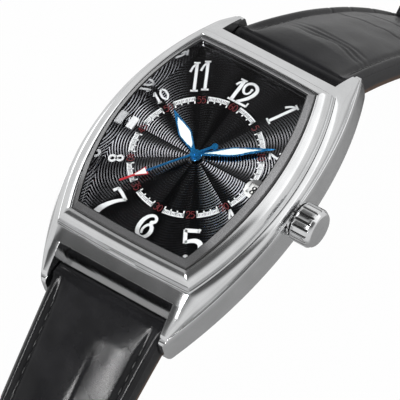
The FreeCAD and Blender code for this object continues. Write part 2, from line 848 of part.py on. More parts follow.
def crown_body():
    body = new_body("crown")
    radius = size("crown_radius")
    level = size("crown_level")
    axis_rule = "Sizes.crown_level"

    def disc(start, disc_radius, radius_rule):
        sketch = new_sketch(body, "YZ_Plane", start)
        sketch.addGeometry(Part.Circle(Vec(0, level, 0), Vec(0, 0, 1), disc_radius), False)
        sketch.addConstraint(Sketcher.Constraint("PointOnObject", 0, 3, -2))
        place = sketch.addConstraint(Sketcher.Constraint("DistanceY", -1, 1, 0, 3, level))
        sketch.setExpression("Constraints[%d]" % place, axis_rule)
        place = sketch.addConstraint(Sketcher.Constraint("Radius", 0, disc_radius))
        sketch.setExpression("Constraints[%d]" % place, radius_rule)
        return sketch

    collar = disc("Sizes.crown_start", size("crown_collar_radius"), "Sizes.crown_collar_radius")
    pad(body, collar, "Sizes.crown_collar_length")
    knob = disc("Sizes.crown_start + Sizes.crown_collar_length", radius, "Sizes.crown_radius")
    pad(body, knob, "Sizes.crown_length - Sizes.crown_collar_length")
    end = size("crown_start") + size("crown_length")

    def on_face_rim(edge):
        return abs(middle_of(edge).x - end) < size("running_gap")

    dress(body, "PartDesign::Chamfer", on_face_rim, Size="Sizes.crown_chamfer")
    flute = new_sketch(body, "YZ_Plane", "Sizes.crown_start + Sizes.crown_collar_length")
    flute.addGeometry(
        Part.Circle(Vec(0, level + radius, 0), Vec(0, 0, 1), size("crown_flute_radius")), False)
    flute.addConstraint(Sketcher.Constraint("PointOnObject", 0, 3, -2))
    place = flute.addConstraint(Sketcher.Constraint("DistanceY", -1, 1, 0, 3, level + radius))
    flute.setExpression("Constraints[%d]" % place, "Sizes.crown_level + Sizes.crown_radius")
    place = flute.addConstraint(Sketcher.Constraint("Radius", 0, size("crown_flute_radius")))
    flute.setExpression("Constraints[%d]" % place, "Sizes.crown_flute_radius")
    groove = pocket_up(
        body, flute, "Sizes.crown_length - Sizes.crown_collar_length - Sizes.crown_chamfer / 2")
    axis = new_sketch(body, "XZ_Plane")
    axis.addGeometry(Part.LineSegment(Vec(0, level, 0), Vec(1, level, 0)), True)
    for index, value in ((1, 0.0), (2, 1.0)):
        axis.addConstraint(Sketcher.Constraint("DistanceX", -1, 1, 0, index, value))
        place = axis.addConstraint(Sketcher.Constraint("DistanceY", -1, 1, 0, index, level))
        axis.setExpression("Constraints[%d]" % place, axis_rule)
    flutes = body.newObject("PartDesign::PolarPattern", "Flutes")
    flutes.Originals = [groove]
    flutes.Axis = (axis, ["Axis0"])
    flutes.Angle = 360
    bind(flutes, Occurrences="Sizes.crown_flutes")
    body.Tip = flutes
    doc.recompute()
    bore = new_sketch(body, "YZ_Plane", "Sizes.crown_start")
    bore_radius = size("tube_radius") + size("back_gasket_width")
    bore.addGeometry(Part.Circle(Vec(0, level, 0), Vec(0, 0, 1), bore_radius), False)
    bore.addConstraint(Sketcher.Constraint("PointOnObject", 0, 3, -2))
    place = bore.addConstraint(Sketcher.Constraint("DistanceY", -1, 1, 0, 3, level))
    bore.setExpression("Constraints[%d]" % place, axis_rule)
    place = bore.addConstraint(Sketcher.Constraint("Radius", 0, bore_radius))
    bore.setExpression("Constraints[%d]" % place, "Sizes.tube_radius + Sizes.back_gasket_width")
    pocket_up(body, bore, "Sizes.crown_length / 2")
    return body


crown_body()
tube_start = "Sizes.opening_half_width + Sizes.crystal_inset + Sizes.ring_gap"
tube = cut(
    cross_cylinder("Sizes.tube_radius", "Sizes.crown_start + Sizes.crown_length / 4 - (%s)" % tube_start,
                   tube_start, "0", "Sizes.crown_level"),
    cross_cylinder("Sizes.tube_bore", "2 * Sizes.crown_start", "0", "0", "Sizes.crown_level"))
finish(tube, "crown_tube")
stem = cross_cylinder(
    "Sizes.stem_radius", "Sizes.crown_start + Sizes.crown_length / 2 - Sizes.stem_inner_end",
    "Sizes.stem_inner_end", "0", "Sizes.crown_level")
finish(stem, "winding_stem")
seal_start = "Sizes.crown_start + Sizes.running_gap"
seal = cut(
    cross_cylinder("Sizes.tube_radius + Sizes.back_gasket_width - Sizes.running_gap / 2",
                   "Sizes.crown_length / 5", seal_start, "0", "Sizes.crown_level"),
    cross_cylinder("Sizes.tube_radius + Sizes.running_gap / 2",
                   "2 * Sizes.crown_start", "0", "0", "Sizes.crown_level"))
finish(seal, "crown_gasket")

# Movement ring and main plate


def movement_ring_shape():
    outer = size("crystal_inset") - size("ring_gap")
    bottom = size("back_thickness") + size("back_lip_height") + size("ring_gap")
    top = size("dial_bottom")
    inner = size("movement_radius") + size("ring_gap")
    holder = outline_prism(outer, outer, bottom, top)
    holder = holder.cut(upright(inner, top, 0, 0, 0))
    stem_way = along_x(size("tube_radius"), size("case_half_width"), 0, 0, size("crown_level"))
    solids = holder.cut(stem_way).Solids
    return Part.makeCompound(solids)


shape_object(movement_ring_shape(), "movement_ring")


def polar(distance, angle):
    """Point at a distance and angle from the hand axis."""
    turn = math.radians(angle)
    return distance * math.cos(turn), distance * math.sin(turn)


def third_distance():
    return size("centre_module") * (size("centre_teeth") + size("third_pinion_teeth")) / 2


def third_module():
    """Module that lets the third wheel reach the fourth pinion on the hand axis."""
    return 2 * third_distance() / (size("third_teeth") + size("fourth_pinion_teeth"))


def escape_distance():
    return size("fourth_module") * (size("fourth_teeth") + size("escape_pinion_teeth")) / 2


def barrel_distance():
    return size("barrel_module") * (size("barrel_teeth") + size("centre_pinion_teeth")) / 2


THIRD_AT = polar(third_distance(), size("third_angle"))
ESCAPE_AT = polar(escape_distance(), size("escape_angle"))
BALANCE_AT = polar(size("balance_distance"), size("balance_angle"))
BARREL_AT = polar(barrel_distance(), size("barrel_angle"))
MINUTE_WHEEL_AT = polar(size("motion_distance"), size("motion_angle"))
PALLET_AT = tuple((first + second) / 2 for first, second in zip(ESCAPE_AT, BALANCE_AT))
ARBOR_PLACES = [THIRD_AT, ESCAPE_AT, BALANCE_AT, PALLET_AT, BARREL_AT]


def main_plate_shape():
    top, bottom = size("plate_top"), size("plate_bottom")
    plate = upright(size("movement_radius"), top - size("rim_bottom"), 0, 0, size("rim_bottom"))
    plate = plate.cut(upright(size("rim_inner_radius"), bottom - size("rim_bottom"), 0, 0,
                              size("rim_bottom")))
    clear = size("running_gap")
    drum = size("barrel_module") * size("barrel_teeth") / 2 + 2 * clear
    drum_top = size("train_level_barrel") + size("barrel_drum_height") + clear
    plate = plate.cut(upright(drum, drum_top - bottom, BARREL_AT[0], BARREL_AT[1], bottom))
    for x, y in ARBOR_PLACES:
        plate = plate.cut(upright(size("arbor_radius") + clear, top, x, y, 0))
    plate = plate.cut(upright(size("centre_tube_radius") + clear, top, 0, 0, 0))
    stem_hole = size("stem_radius") + clear
    stem_start = size("stem_inner_end") - size("stem_radius")
    plate = plate.cut(along_x(stem_hole, size("case_half_width"), stem_start, 0, size("crown_level")))
    stud_x, stud_y = MINUTE_WHEEL_AT
    stud = upright(size("arbor_radius"), size("calendar_flange_level") - top, stud_x, stud_y, top)
    return plate.fuse(stud).removeSplitter()


shape_object(main_plate_shape(), "main_plate")

# Bridges: one disc divided by two gaps, with the balance cock reaching in from the rim


def wedge(radius, height, bottom, start, sweep):
    """Sector of a disc."""
    sector = Part.makeCylinder(radius, height, Vec(0, 0, bottom), Vec(0, 0, 1), sweep)
    sector.rotate(Vec(0, 0, 0), Vec(0, 0, 1), start)
    return sector


def bridge_shape(start, sweep, hub_inner, holes):
    """Sector bridge between the rim and a hub radius, drilled for its pivots."""
    height = size("bridge_thickness")
    bottom = size("bridge_bottom")
    bridge = wedge(size("bridge_radius"), height, bottom, start, sweep)
    if hub_inner > 0:
        bridge = bridge.cut(upright(hub_inner, height, 0, 0, bottom))
    for x, y in holes:
        bridge = bridge.cut(upright(size("arbor_radius") + size("running_gap"), height, x, y, bottom))
    for x, y in screw_places(start, sweep):
        bridge = bridge.cut(upright(size("back_screw_thread"), height, x, y, bottom))
    return bridge


def screw_places(start, sweep):
    """Two screws near the ends of a bridge, over the plate's rim."""
    distance = (size("rim_inner_radius") + size("movement_radius")) / 2 - size("ring_gap")
    first, last = start + SCREW_INSET, start + sweep - SCREW_INSET
    return [polar(distance, first), polar(distance, last)]


# start and sweep of each bridge round the hand axis, in degrees
BARREL_BRIDGE = (112.0, 112.0)
TRAIN_BRIDGE = (-62.0, 172.0)
BALANCE_COCK = (-134.0, 70.0)
SCREW_INSET = 8.0
HUB_RADIUS = size("rotor_hub_radius") + 3 * size("running_gap")
shape_object(bridge_shape(*BARREL_BRIDGE, HUB_RADIUS, [BARREL_AT]), "barrel_bridge")


def train_bridge_shape():
    bridge = bridge_shape(*TRAIN_BRIDGE, 0, [THIRD_AT, ESCAPE_AT])
    hub = upright(HUB_RADIUS - size("running_gap"), size("bridge_thickness"), 0, 0,
                  size("bridge_bottom"))
    bridge = bridge.fuse(hub)
    pivot_depth = size("bridge_thickness") * 0.7
    top = size("bridge_bottom") + size("bridge_thickness")
    pivot = upright(size("arbor_radius") + size("running_gap"), pivot_depth, 0, 0, top - pivot_depth)
    return bridge.cut(pivot).removeSplitter()


shape_object(train_bridge_shape(), "train_bridge")
shape_object(bridge_shape(*BALANCE_COCK, HUB_RADIUS, [BALANCE_AT]), "balance_cock")


def bridge_screws_shape():
    screws = []
    head = size("rotor_thickness") / 2
    for start, sweep in (BARREL_BRIDGE, TRAIN_BRIDGE, BALANCE_COCK):
        for x, y in screw_places(start, sweep):
            shank = size("back_screw_thread") - size("running_gap")
            screw = Part.makeCylinder(shank, size("bridge_thickness"))
            screw.translate(Vec(x, y, size("bridge_bottom")))
            cap = upright(shank, head, x, y, size("bridge_bottom") - head)
            screws.append(screw.fuse(cap).removeSplitter())
    return Part.makeCompound(screws)


shape_object(bridge_screws_shape(), "bridge_screws")

# Gears: pointed teeth on pitch circles that touch

ADDENDUM = 0.8
DEDENDUM = 1.05
WINDOW_INNER = 0.34
WINDOW_OUTER = 0.8
SPOKES = 4
SPOKE_SWEEP = 28.0


def gear_face(teeth, module, level, phase):
    """Toothed face with a tooth centred on the phase angle."""
    pitch_radius = module * teeth / 2
    tip = pitch_radius + ADDENDUM * module
    root = pitch_radius - DEDENDUM * module
    points = []
    for tooth in range(teeth):
        for radius, share in ((root, -0.5), (tip, 0.0)):
            x, y = polar(radius, phase + (tooth + share) * 360.0 / teeth)
            points.append(Vec(x, y, level))
    return Part.Face(Part.makePolygon(points + points[:1]))


def spoke_window(pitch_radius, start, sweep, bottom, height):
    """Straight-sided opening between two spokes."""
    corners = []
    for reach, turn in ((WINDOW_INNER, start), (WINDOW_OUTER, start), (WINDOW_OUTER, start + sweep / 2),
                        (WINDOW_OUTER, start + sweep), (WINDOW_INNER, start + sweep)):
        x, y = polar(reach * pitch_radius, turn)
        corners.append(Vec(x, y, bottom))
    return Part.Face(Part.makePolygon(corners + corners[:1])).extrude(Vec(0, 0, height))


def gear(teeth, module, bottom, height, phase, spoked=False):
    """A toothed disc, opened between four spokes when it is a wheel."""
    wheel = gear_face(teeth, module, bottom, phase).extrude(Vec(0, 0, height))
    if spoked:
        sweep = 360.0 / SPOKES - SPOKE_SWEEP
        for index in range(SPOKES):
            start = phase + index * 360.0 / SPOKES + SPOKE_SWEEP / 2
            wheel = wheel.cut(spoke_window(module * teeth / 2, start, sweep, bottom, height))
    return wheel


def mesh_phase(teeth, angle):
    """Phase that puts a gap of the driven gear at the driver's tooth."""
    return angle + 180.0 + 180.0 / teeth


def wheel_and_pinion(place, angle, wheel, pinion, span):
    """Arbor with a wheel and a pinion; each is teeth, module, bottom and height."""
    arbor_radius = size("arbor_radius")
    parts = Part.makeCylinder(arbor_radius, span[1] - span[0], Vec(0, 0, span[0]))
    wheel_teeth, wheel_module, wheel_bottom, wheel_height = wheel
    parts = parts.fuse(gear(wheel_teeth, wheel_module, wheel_bottom, wheel_height, angle + 180.0,
                            spoked=True))
    pinion_teeth, pinion_module, pinion_bottom, pinion_height = pinion
    leaf = gear(pinion_teeth, pinion_module, pinion_bottom, pinion_height,
                mesh_phase(pinion_teeth, angle))
    parts = parts.fuse(leaf).removeSplitter()
    parts.translate(Vec(place[0], place[1], 0))
    return parts


THICK = size("wheel_thickness")
PIVOT_LOW = size("bridge_bottom") + size("running_gap")
PIVOT_HIGH = size("plate_top") - size("running_gap")


def centre_wheel_shape():
    """Centre wheel and pinion on the tube that carries the cannon pinion."""
    angle = size("third_angle")
    level = size("train_level_centre")
    inner = size("arbor_radius") + size("running_gap")
    wheel = gear(count("centre_teeth"), size("centre_module"), level, THICK, angle, spoked=True)
    pinion_phase = size("barrel_angle")
    leaf = gear(count("centre_pinion_teeth"), size("barrel_module"), size("train_level_barrel"),
                2 * THICK, pinion_phase)
    pipe = upright(size("centre_tube_radius"), size("hour_hand_level") - level, 0, 0, level)
    return wheel.fuse([leaf, pipe]).cut(upright(inner, size("crystal_top"), 0, 0, 0)).removeSplitter()


def third_wheel_shape():
    wheel = (count("third_teeth"), third_module(), size("train_level_third"), THICK)
    pinion = (count("third_pinion_teeth"), size("centre_module"), size("train_level_centre"), THICK)
    return wheel_and_pinion(THIRD_AT, size("third_angle"), wheel, pinion, (PIVOT_LOW, PIVOT_HIGH))


def fourth_wheel_shape():
    """Fourth wheel whose long arbor carries the seconds hand."""
    low = size("bridge_bottom") + size("bridge_thickness") * 0.4
    arbor = upright(size("arbor_radius"), size("seconds_hand_level") - low, 0, 0, low)
    wheel = gear(count("fourth_teeth"), size("fourth_module"), size("train_level_fourth"), THICK,
                 size("escape_angle"), spoked=True)
    phase = mesh_phase(count("fourth_pinion_teeth"), size("third_angle") + 180.0)
    leaf = gear(count("fourth_pinion_teeth"), third_module(), size("train_level_third"), THICK,
                phase)
    return arbor.fuse([wheel, leaf]).removeSplitter()


def escape_wheel_shape():
    """Escape wheel with hooked teeth, its pinion in the fourth wheel."""
    level = size("train_level_barrel") + size("running_gap")
    teeth = count("escape_teeth")
    radius = size("escape_radius")
    points = []
    for tooth in range(teeth):
        start = tooth * 360.0 / teeth
        for share, reach in ((0.0, 0.78), (0.34, 1.0), (0.42, 1.0), (0.5, 0.78)):
            x, y = polar(radius * reach, start + share * 360.0 / teeth)
            points.append(Vec(x, y, level))
    wheel = Part.Face(Part.makePolygon(points + points[:1])).extrude(Vec(0, 0, THICK))
    arbor = Part.makeCylinder(size("arbor_radius"), PIVOT_HIGH - PIVOT_LOW, Vec(0, 0, PIVOT_LOW))
    leaf = gear(count("escape_pinion_teeth"), size("fourth_module"), size("train_level_fourth"),
                THICK, mesh_phase(count("escape_pinion_teeth"), size("escape_angle")))
    shape = arbor.fuse([wheel, leaf]).removeSplitter()
    shape.translate(Vec(ESCAPE_AT[0], ESCAPE_AT[1], 0))
    return shape


def barrel_shape():
    level = size("train_level_barrel")
    radius = size("barrel_module") * size("barrel_teeth") / 2
    teeth = gear(count("barrel_teeth"), size("barrel_module"), level, 2 * THICK,
                 mesh_phase(count("barrel_teeth"), size("barrel_angle")))
    drum = Part.makeCylinder(radius - DEDENDUM * size("barrel_module"), size("barrel_drum_height"), Vec(0, 0, level))
    bore = Part.makeCylinder(size("arbor_radius") + size("running_gap"), size("plate_top"))
    shape = teeth.fuse(drum).cut(bore).removeSplitter()
    shape.translate(Vec(BARREL_AT[0], BARREL_AT[1], 0))
    return shape


def ratchet_shape():
    """Ratchet wheel above the barrel bridge, on the barrel arbor."""
    bottom = size("rotor_bottom") + size("rotor_weight_height") + size("running_gap")
    height = size("bridge_bottom") - size("running_gap") - bottom
    module = 2 * size("ratchet_radius") / size("ratchet_teeth")
    wheel = gear(count("ratchet_teeth"), module, bottom, height, 0)
    arbor = Part.makeCylinder(size("arbor_radius"), PIVOT_HIGH - bottom, Vec(0, 0, bottom))
    shape = wheel.fuse(arbor).removeSplitter()
    shape.translate(Vec(BARREL_AT[0], BARREL_AT[1], 0))
    return shape


shape_object(barrel_shape(), "mainspring_barrel")
shape_object(ratchet_shape(), "ratchet_wheel")
shape_object(centre_wheel_shape(), "centre_wheel")
shape_object(third_wheel_shape(), "third_wheel")
shape_object(fourth_wheel_shape(), "fourth_wheel")
shape_object(escape_wheel_shape(), "escape_wheel")

# Pallet fork, balance wheel and hairspring

HAIRSPRING_STEPS = 16


def pallet_fork_shape():
    """Anchor between the escape wheel and the balance, its arms clear of both."""
    level = size("train_level_barrel") + size("running_gap")
    run = math.dist(ESCAPE_AT, BALANCE_AT)
    lever = run / 2 - 2 * size("arbor_radius") - size("running_gap")
    arm = run / 2 - size("escape_radius") - size("running_gap")
    half = size("wheel_thickness")
    outline = [
        Vec(lever, half, 0), Vec(0, 1.6 * half, 0), Vec(-arm, 5.5 * half, 0),
        Vec(-arm, 3.5 * half, 0), Vec(-0.8 * half, 0, 0), Vec(-arm, -3.5 * half, 0),
        Vec(-arm, -5.5 * half, 0), Vec(0, -1.6 * half, 0), Vec(lever, -half, 0),
        Vec(lever * 0.8, 0, 0)]
    fork = Part.Face(Part.makePolygon(outline + outline[:1])).extrude(Vec(0, 0, THICK))
    fork.translate(Vec(0, 0, level))
    low = level - THICK / 2
    arbor = Part.makeCylinder(size("arbor_radius"), PIVOT_HIGH - low, Vec(0, 0, low))
    shape = fork.fuse(arbor).removeSplitter()
    bearing = math.atan2(BALANCE_AT[1] - ESCAPE_AT[1], BALANCE_AT[0] - ESCAPE_AT[0])
    shape.rotate(Vec(0, 0, 0), Vec(0, 0, 1), math.degrees(bearing))
    shape.translate(Vec(PALLET_AT[0], PALLET_AT[1], 0))
    return shape


def balance_shape():
    level = size("train_level_third") - size("running_gap")
    radius = size("balance_radius")
    rim = upright(radius, THICK, 0, 0, level).cut(
        upright(radius - size("balance_rim"), THICK, 0, 0, level))
    spokes = []
    for turn in (0, 120, 240):
        spoke = Part.makeBox(radius - size("balance_rim") / 2, THICK, THICK,
                             Vec(0, -THICK / 2, level))
        spoke.rotate(Vec(0, 0, 0), Vec(0, 0, 1), turn)
        spokes.append(spoke)
    staff = Part.makeCylinder(size("arbor_radius"), PIVOT_HIGH - PIVOT_LOW, Vec(0, 0, PIVOT_LOW))
    hub = upright(2.5 * size("arbor_radius"), THICK, 0, 0, level)
    shape = rim.fuse(spokes + [staff, hub]).removeSplitter()
    shape.translate(Vec(BALANCE_AT[0], BALANCE_AT[1], 0))
    return shape


def hairspring_shape():
    """Flat spiral band wound outwards from its collet."""
    wall = size("hairspring_wall")
    inner = 2.5 * size("arbor_radius")
    level = size("bridge_bottom") + size("bridge_thickness") + 3 * size("running_gap")
    height = THICK / 2
    turns = count("hairspring_turns")
    steps = turns * HAIRSPRING_STEPS
    inside, outside = [], []
    for step in range(steps + 1):
        radius = inner + (size("hairspring_radius") - inner) * step / steps
        for run, reach in ((inside, radius - wall), (outside, radius)):
            x, y = polar(reach, step * 360.0 / HAIRSPRING_STEPS)
            run.append(Vec(x, y, level))
    band = inside + outside[::-1]
    shape = Part.Face(Part.makePolygon(band + band[:1])).extrude(Vec(0, 0, height))
    bore = size("arbor_radius") + size("running_gap") / 2
    shape = shape.fuse(upright(inner, height, 0, 0, level)).cut(upright(bore, height, 0, 0, level))
    shape = shape.removeSplitter()
    shape.translate(Vec(BALANCE_AT[0], BALANCE_AT[1], 0))
    return shape


shape_object(pallet_fork_shape(), "pallet_fork")
shape_object(balance_shape(), "balance_wheel")
shape_object(hairspring_shape(), "hairspring")

# Winding rotor on its bearing, held by one screw


def rotor_shape():
    bottom = size("rotor_bottom")
    radius = size("rotor_radius")
    web = wedge(radius, size("rotor_thickness"), bottom, 180, 180)
    weight = wedge(radius, size("rotor_weight_height"), bottom, 180, 180)
    weight = weight.cut(upright(radius - size("rotor_weight_width"), size("rotor_weight_height"), 0, 0,
                                bottom))
    hub = upright(size("rotor_hub_radius"), size("rotor_thickness"), 0, 0, bottom)
    bore = upright(size("rotor_bore"), size("rotor_weight_height"), 0, 0, bottom)
    return web.fuse([weight, hub]).cut(bore).removeSplitter()


shape_object(rotor_shape(), "rotor")
bearing = ring(
    "Sizes.rotor_bore - Sizes.running_gap", "Sizes.arbor_radius * 3",
    "Sizes.bridge_bottom - Sizes.rotor_bottom", "Sizes.rotor_bottom")
finish(bearing, "rotor_bearing")
rotor_screw = fuse(
    cylinder("Sizes.rotor_bore + Sizes.running_gap * 4", "Sizes.rotor_thickness / 2",
             "Sizes.rotor_bottom - Sizes.running_gap - Sizes.rotor_thickness / 2"),
    cylinder("Sizes.arbor_radius * 3 - Sizes.running_gap / 2",
             "Sizes.bridge_bottom - Sizes.rotor_bottom + Sizes.rotor_thickness / 2",
             "Sizes.rotor_bottom - Sizes.running_gap - Sizes.rotor_thickness / 2"))
finish(rotor_screw, "rotor_screw")

# Motion works: cannon pinion, minute wheel and hour wheel in mesh


def motion_modules():
    distance = size("motion_distance")
    first = 2 * distance / (size("cannon_teeth") + size("minute_wheel_teeth"))
    second = 2 * distance / (size("minute_pinion_teeth") + size("hour_wheel_teeth"))
    return first, second


def cannon_pinion_shape():
    module = motion_modules()[0]
    level = size("motion_level")
    leaf = gear(count("cannon_teeth"), module, level, THICK, size("motion_angle"))
    pipe = upright(size("cannon_pipe_radius"), size("minute_hand_level") - level, 0, 0, level)
    bore = upright(size("centre_tube_radius") + size("running_gap") / 2, size("crystal_top"), 0, 0, 0)
    return leaf.fuse(pipe).cut(bore).removeSplitter()


def minute_wheel_shape():
    first, second = motion_modules()
    level = size("motion_level")
    angle = size("motion_angle")
    wheel = gear(count("minute_wheel_teeth"), first, level, THICK,
                 mesh_phase(count("minute_wheel_teeth"), angle), spoked=True)
    leaf = gear(count("minute_pinion_teeth"), second, size("hour_wheel_level"), THICK, angle + 180.0)
    hub = upright(second * (size("minute_pinion_teeth") / 2 - 1.05), size("hour_wheel_level") - level,
                  0, 0, level)
    bore = upright(size("arbor_radius") + size("running_gap"), size("dial_top"), 0, 0, 0)
    shape = wheel.fuse([leaf, hub]).cut(bore).removeSplitter()
    shape.translate(Vec(MINUTE_WHEEL_AT[0], MINUTE_WHEEL_AT[1], 0))
    return shape


def hour_wheel_shape():
    module = motion_modules()[1]
    level = size("hour_wheel_level")
    wheel = gear(count("hour_wheel_teeth"), module, level, THICK,
                 mesh_phase(count("hour_wheel_teeth"), size("motion_angle") + 180.0))
    pipe = upright(size("hour_pipe_radius"), size("hour_hand_level") - level, 0, 0, level)
    bore = upright(size("cannon_pipe_radius") + size("running_gap"), size("crystal_top"), 0, 0, 0)
    return wheel.fuse(pipe).cut(bore).removeSplitter()


shape_object(cannon_pinion_shape(), "cannon_pinion")
shape_object(minute_wheel_shape(), "minute_wheel")
shape_object(hour_wheel_shape(), "hour_wheel")

# Calendar: date disc with inner teeth, held down by the calendar plate


def date_disc_shape():
    level = size("date_disc_level")
    height = size("date_disc_thickness")
    teeth = count("date_disc_teeth")
    disc = upright(size("date_disc_radius"), height, 0, 0, level)
    tip, root = size("date_disc_bore"), size("date_disc_bore") + size("date_tooth_depth")
    points = []
    for tooth in range(teeth):
        for share, radius in ((0.1, root), (0.4, tip), (0.6, tip), (0.9, root)):
            x, y = polar(radius, (tooth + share) * 360.0 / teeth)
            points.append(Vec(x, y, level))
    opening = Part.Face(Part.makePolygon(points + points[:1])).extrude(Vec(0, 0, height))
    return disc.cut(opening)


def calendar_plate_shape():
    level = size("calendar_flange_level")
    bottom = size("plate_top")
    height = size("calendar_flange_thickness")
    hub = upright(size("calendar_hub_radius"), level + height - bottom, 0, 0, bottom)
    flange = upright(size("calendar_flange_radius"), height, 0, 0, level)
    bore = upright(size("calendar_hub_inner"), size("dial_top"), 0, 0, 0)
    return hub.fuse(flange).cut(bore).removeSplitter()


shape_object(date_disc_shape(), "date_disc")
shape_object(calendar_plate_shape(), "calendar_plate")

# Hands: leaf hour and minute hands with inset lume, arrow seconds hand


def hand_plate(points, bottom, height):
    face = Part.Face(Part.makePolygon(points + points[:1]))
    plate = face.extrude(Vec(0, 0, height))
    plate.translate(Vec(0, 0, bottom))
    return plate


def leaf_outline(length, width, inset):
    """Leaf blade pointing along Y, drawn in by an inset for the lume."""
    boss = size("hand_boss_radius")
    belly = 0.42 * length
    half = width / 2 - inset
    root = 1.15 * boss + inset
    neck = 0.22 - inset * 0.4
    tip = length - 5.5 * inset
    side = [Vec(neck, root, 0), Vec(half * 0.72, (root + belly) / 2, 0), Vec(half, belly, 0)]
    side += [Vec(half * 0.62, (belly + tip) / 2, 0), Vec(0.04, tip, 0)]
    return side + [Vec(-point.x, point.y, 0) for point in reversed(side)]


def turned(shape, clock_angle):
    shape.rotate(Vec(0, 0, 0), Vec(0, 0, 1), -clock_angle)
    return shape


def leaf_hand(length, width, level, bore, clock_angle):
    thickness = size("hand_thickness")
    blade = hand_plate(leaf_outline(length, width, 0), level, thickness)
    boss = upright(size("hand_boss_radius"), thickness, 0, 0, level)
    stem = Part.makeBox(0.7, 1.6 * size("hand_boss_radius"), thickness, Vec(-0.35, 0, level))
    hand = blade.fuse([boss, stem])
    hand = hand.cut(hand_plate(leaf_outline(length, width, size("lume_inset")), level, thickness))
    hand = hand.cut(upright(bore, thickness, 0, 0, level))
    return turned(hand.removeSplitter(), clock_angle)


def lume_insert(length, width, level, clock_angle):
    inset = size("lume_inset") + size("running_gap") / 5
    return turned(hand_plate(leaf_outline(length, width, inset), level, size("hand_thickness")),
                  clock_angle)


hour_hand = (size("hour_hand_length"), size("hour_hand_width"), size("hour_hand_level"))
minute_hand = (size("minute_hand_length"), size("minute_hand_width"), size("minute_hand_level"))
hour_bore = size("cannon_pipe_radius") + size("running_gap")
shape_object(leaf_hand(*hour_hand, hour_bore, size("hour_angle")), "hour_hand")
shape_object(lume_insert(*hour_hand, size("hour_angle")), "hour_hand_lume")
shape_object(leaf_hand(*minute_hand, size("centre_tube_radius") / 2, size("minute_angle")),
             "minute_hand")
shape_object(lume_insert(*minute_hand, size("minute_angle")), "minute_hand_lume")


def seconds_hand_shape():
    """Thin stem, arrow head, needle tip and a round counterweight."""
    level = size("seconds_hand_level")
    thickness = size("hand_thickness")
    length = size("seconds_hand_length")
    tail = size("seconds_hand_tail")
    half = 0.17
    stem = Part.makeBox(2 * half, length * 0.97 + tail, thickness, Vec(-half, -tail, level))
    arrow = [Vec(-0.6, 0.64 * length, 0), Vec(0.6, 0.64 * length, 0), Vec(0.06, length, 0),
             Vec(-0.06, length, 0)]
    head = hand_plate(arrow, level, thickness)
    weight = upright(0.5, thickness, 0, -tail, level)
    boss = upright(size("hand_boss_radius") * 0.85, thickness, 0, 0, level)
    cap = upright(size("arbor_radius") * 1.6, 1.5 * thickness, 0, 0, level + thickness)
    stem = stem.common(upright(length * 0.7, thickness, 0, 0, level))
    return turned(stem.fuse([head, weight, boss, cap]).removeSplitter(), size("seconds_angle"))


shape_object(seconds_hand_shape(), "seconds_hand")

# Spring bars


def spring_bar(sign, node):
    """Bar between the lugs with a thinner pivot at each end."""
    half = size("lug_gap") / 2 - size("strap_side_gap")
    pivot_half = size("lug_gap") / 2 + size("bar_pivot_length")
    y, level = sign * bar_y(), size("bar_level")
    bar = along_x(size("bar_radius"), 2 * half, -half, y, level)
    bar = bar.fuse(along_x(size("bar_pivot_radius"), 2 * pivot_half, -pivot_half, y, level))
    shape_object(bar.removeSplitter(), node)


spring_bar(1, "spring_bar_upper")
spring_bar(-1, "spring_bar_lower")

# Straps: layers lofted along an arc that leaves the spring bar and curves down


class StrapLine:
    """Centre line of one strap, an arc in the YZ plane from its spring bar."""

    def __init__(self, sign, length, start_angle, end_angle):
        self.sign = sign
        self.length = length
        self.start = math.radians(start_angle)
        self.radius = length / (math.radians(end_angle) - self.start)

    def slope(self, run):
        return self.start + run / self.radius

    def point(self, run, rise=0.0):
        """Point at a distance along the line and a height above it."""
        slope = self.slope(run)
        y = bar_y() + self.radius * (math.sin(slope) - math.sin(self.start))
        z = size("bar_level") - self.radius * (math.cos(self.start) - math.cos(slope))
        return Vec(0, self.sign * (y + rise * math.sin(slope)), z + rise * math.cos(slope))

    def width(self, run):
        full = size("lug_gap") - 2 * size("strap_side_gap")
        narrow = size("strap_end_width")
        left = max(0.0, 1 - run / size("strap_taper_length"))
        return narrow + (full - narrow) * left**2

    def thickness(self, run):
        thin = size("strap_end_thickness")
        left = max(0.0, 1 - run / size("strap_pad_length"))
        return thin + (size("strap_lug_thickness") - thin) * left

    def section(self, run, low, high, width):
        """Upright rectangle across the strap, between two heights on its line."""
        corners = []
        for side, rise in ((-1, low), (1, low), (1, high), (-1, high)):
            corner = self.point(run, rise)
            corners.append(Vec(side * width / 2, corner.y, corner.z))
        return Part.makePolygon(corners + corners[:1])


def floor_gap(end_angle):
    """How far the lower strap's tip would end above the floor with this end angle."""
    line = StrapLine(-1, size("lower_length"), size("lower_start_angle"), end_angle)
    return line.point(line.length, -size("strap_end_thickness") / 2).z - FLOOR


def lower_end_angle():
    """End angle that sets the lower strap's tip on the floor."""
    low, high = size("lower_start_angle") + 1, 89.0
    for _ in range(60):
        middle = (low + high) / 2
        if floor_gap(middle) > 0:
            low = middle
        else:
            high = middle
    return (low + high) / 2


UPPER = StrapLine(1, size("upper_length"), size("upper_start_angle"), size("upper_end_angle"))
FLOOR = UPPER.point(UPPER.length).z - size("buckle_hub_radius") - size("running_gap")
LOWER = StrapLine(-1, size("lower_length"), size("lower_start_angle"), lower_end_angle())


TIP_BLUNTNESS = 1.06


def tip_share(line, run):
    """Share of the width that is left in the rounded tip."""
    start = line.length - size("tip_length")
    if run <= start:
        return 1.0
    share = (run - start) / (size("tip_length") * TIP_BLUNTNESS)
    return math.sqrt(1 - share**2)


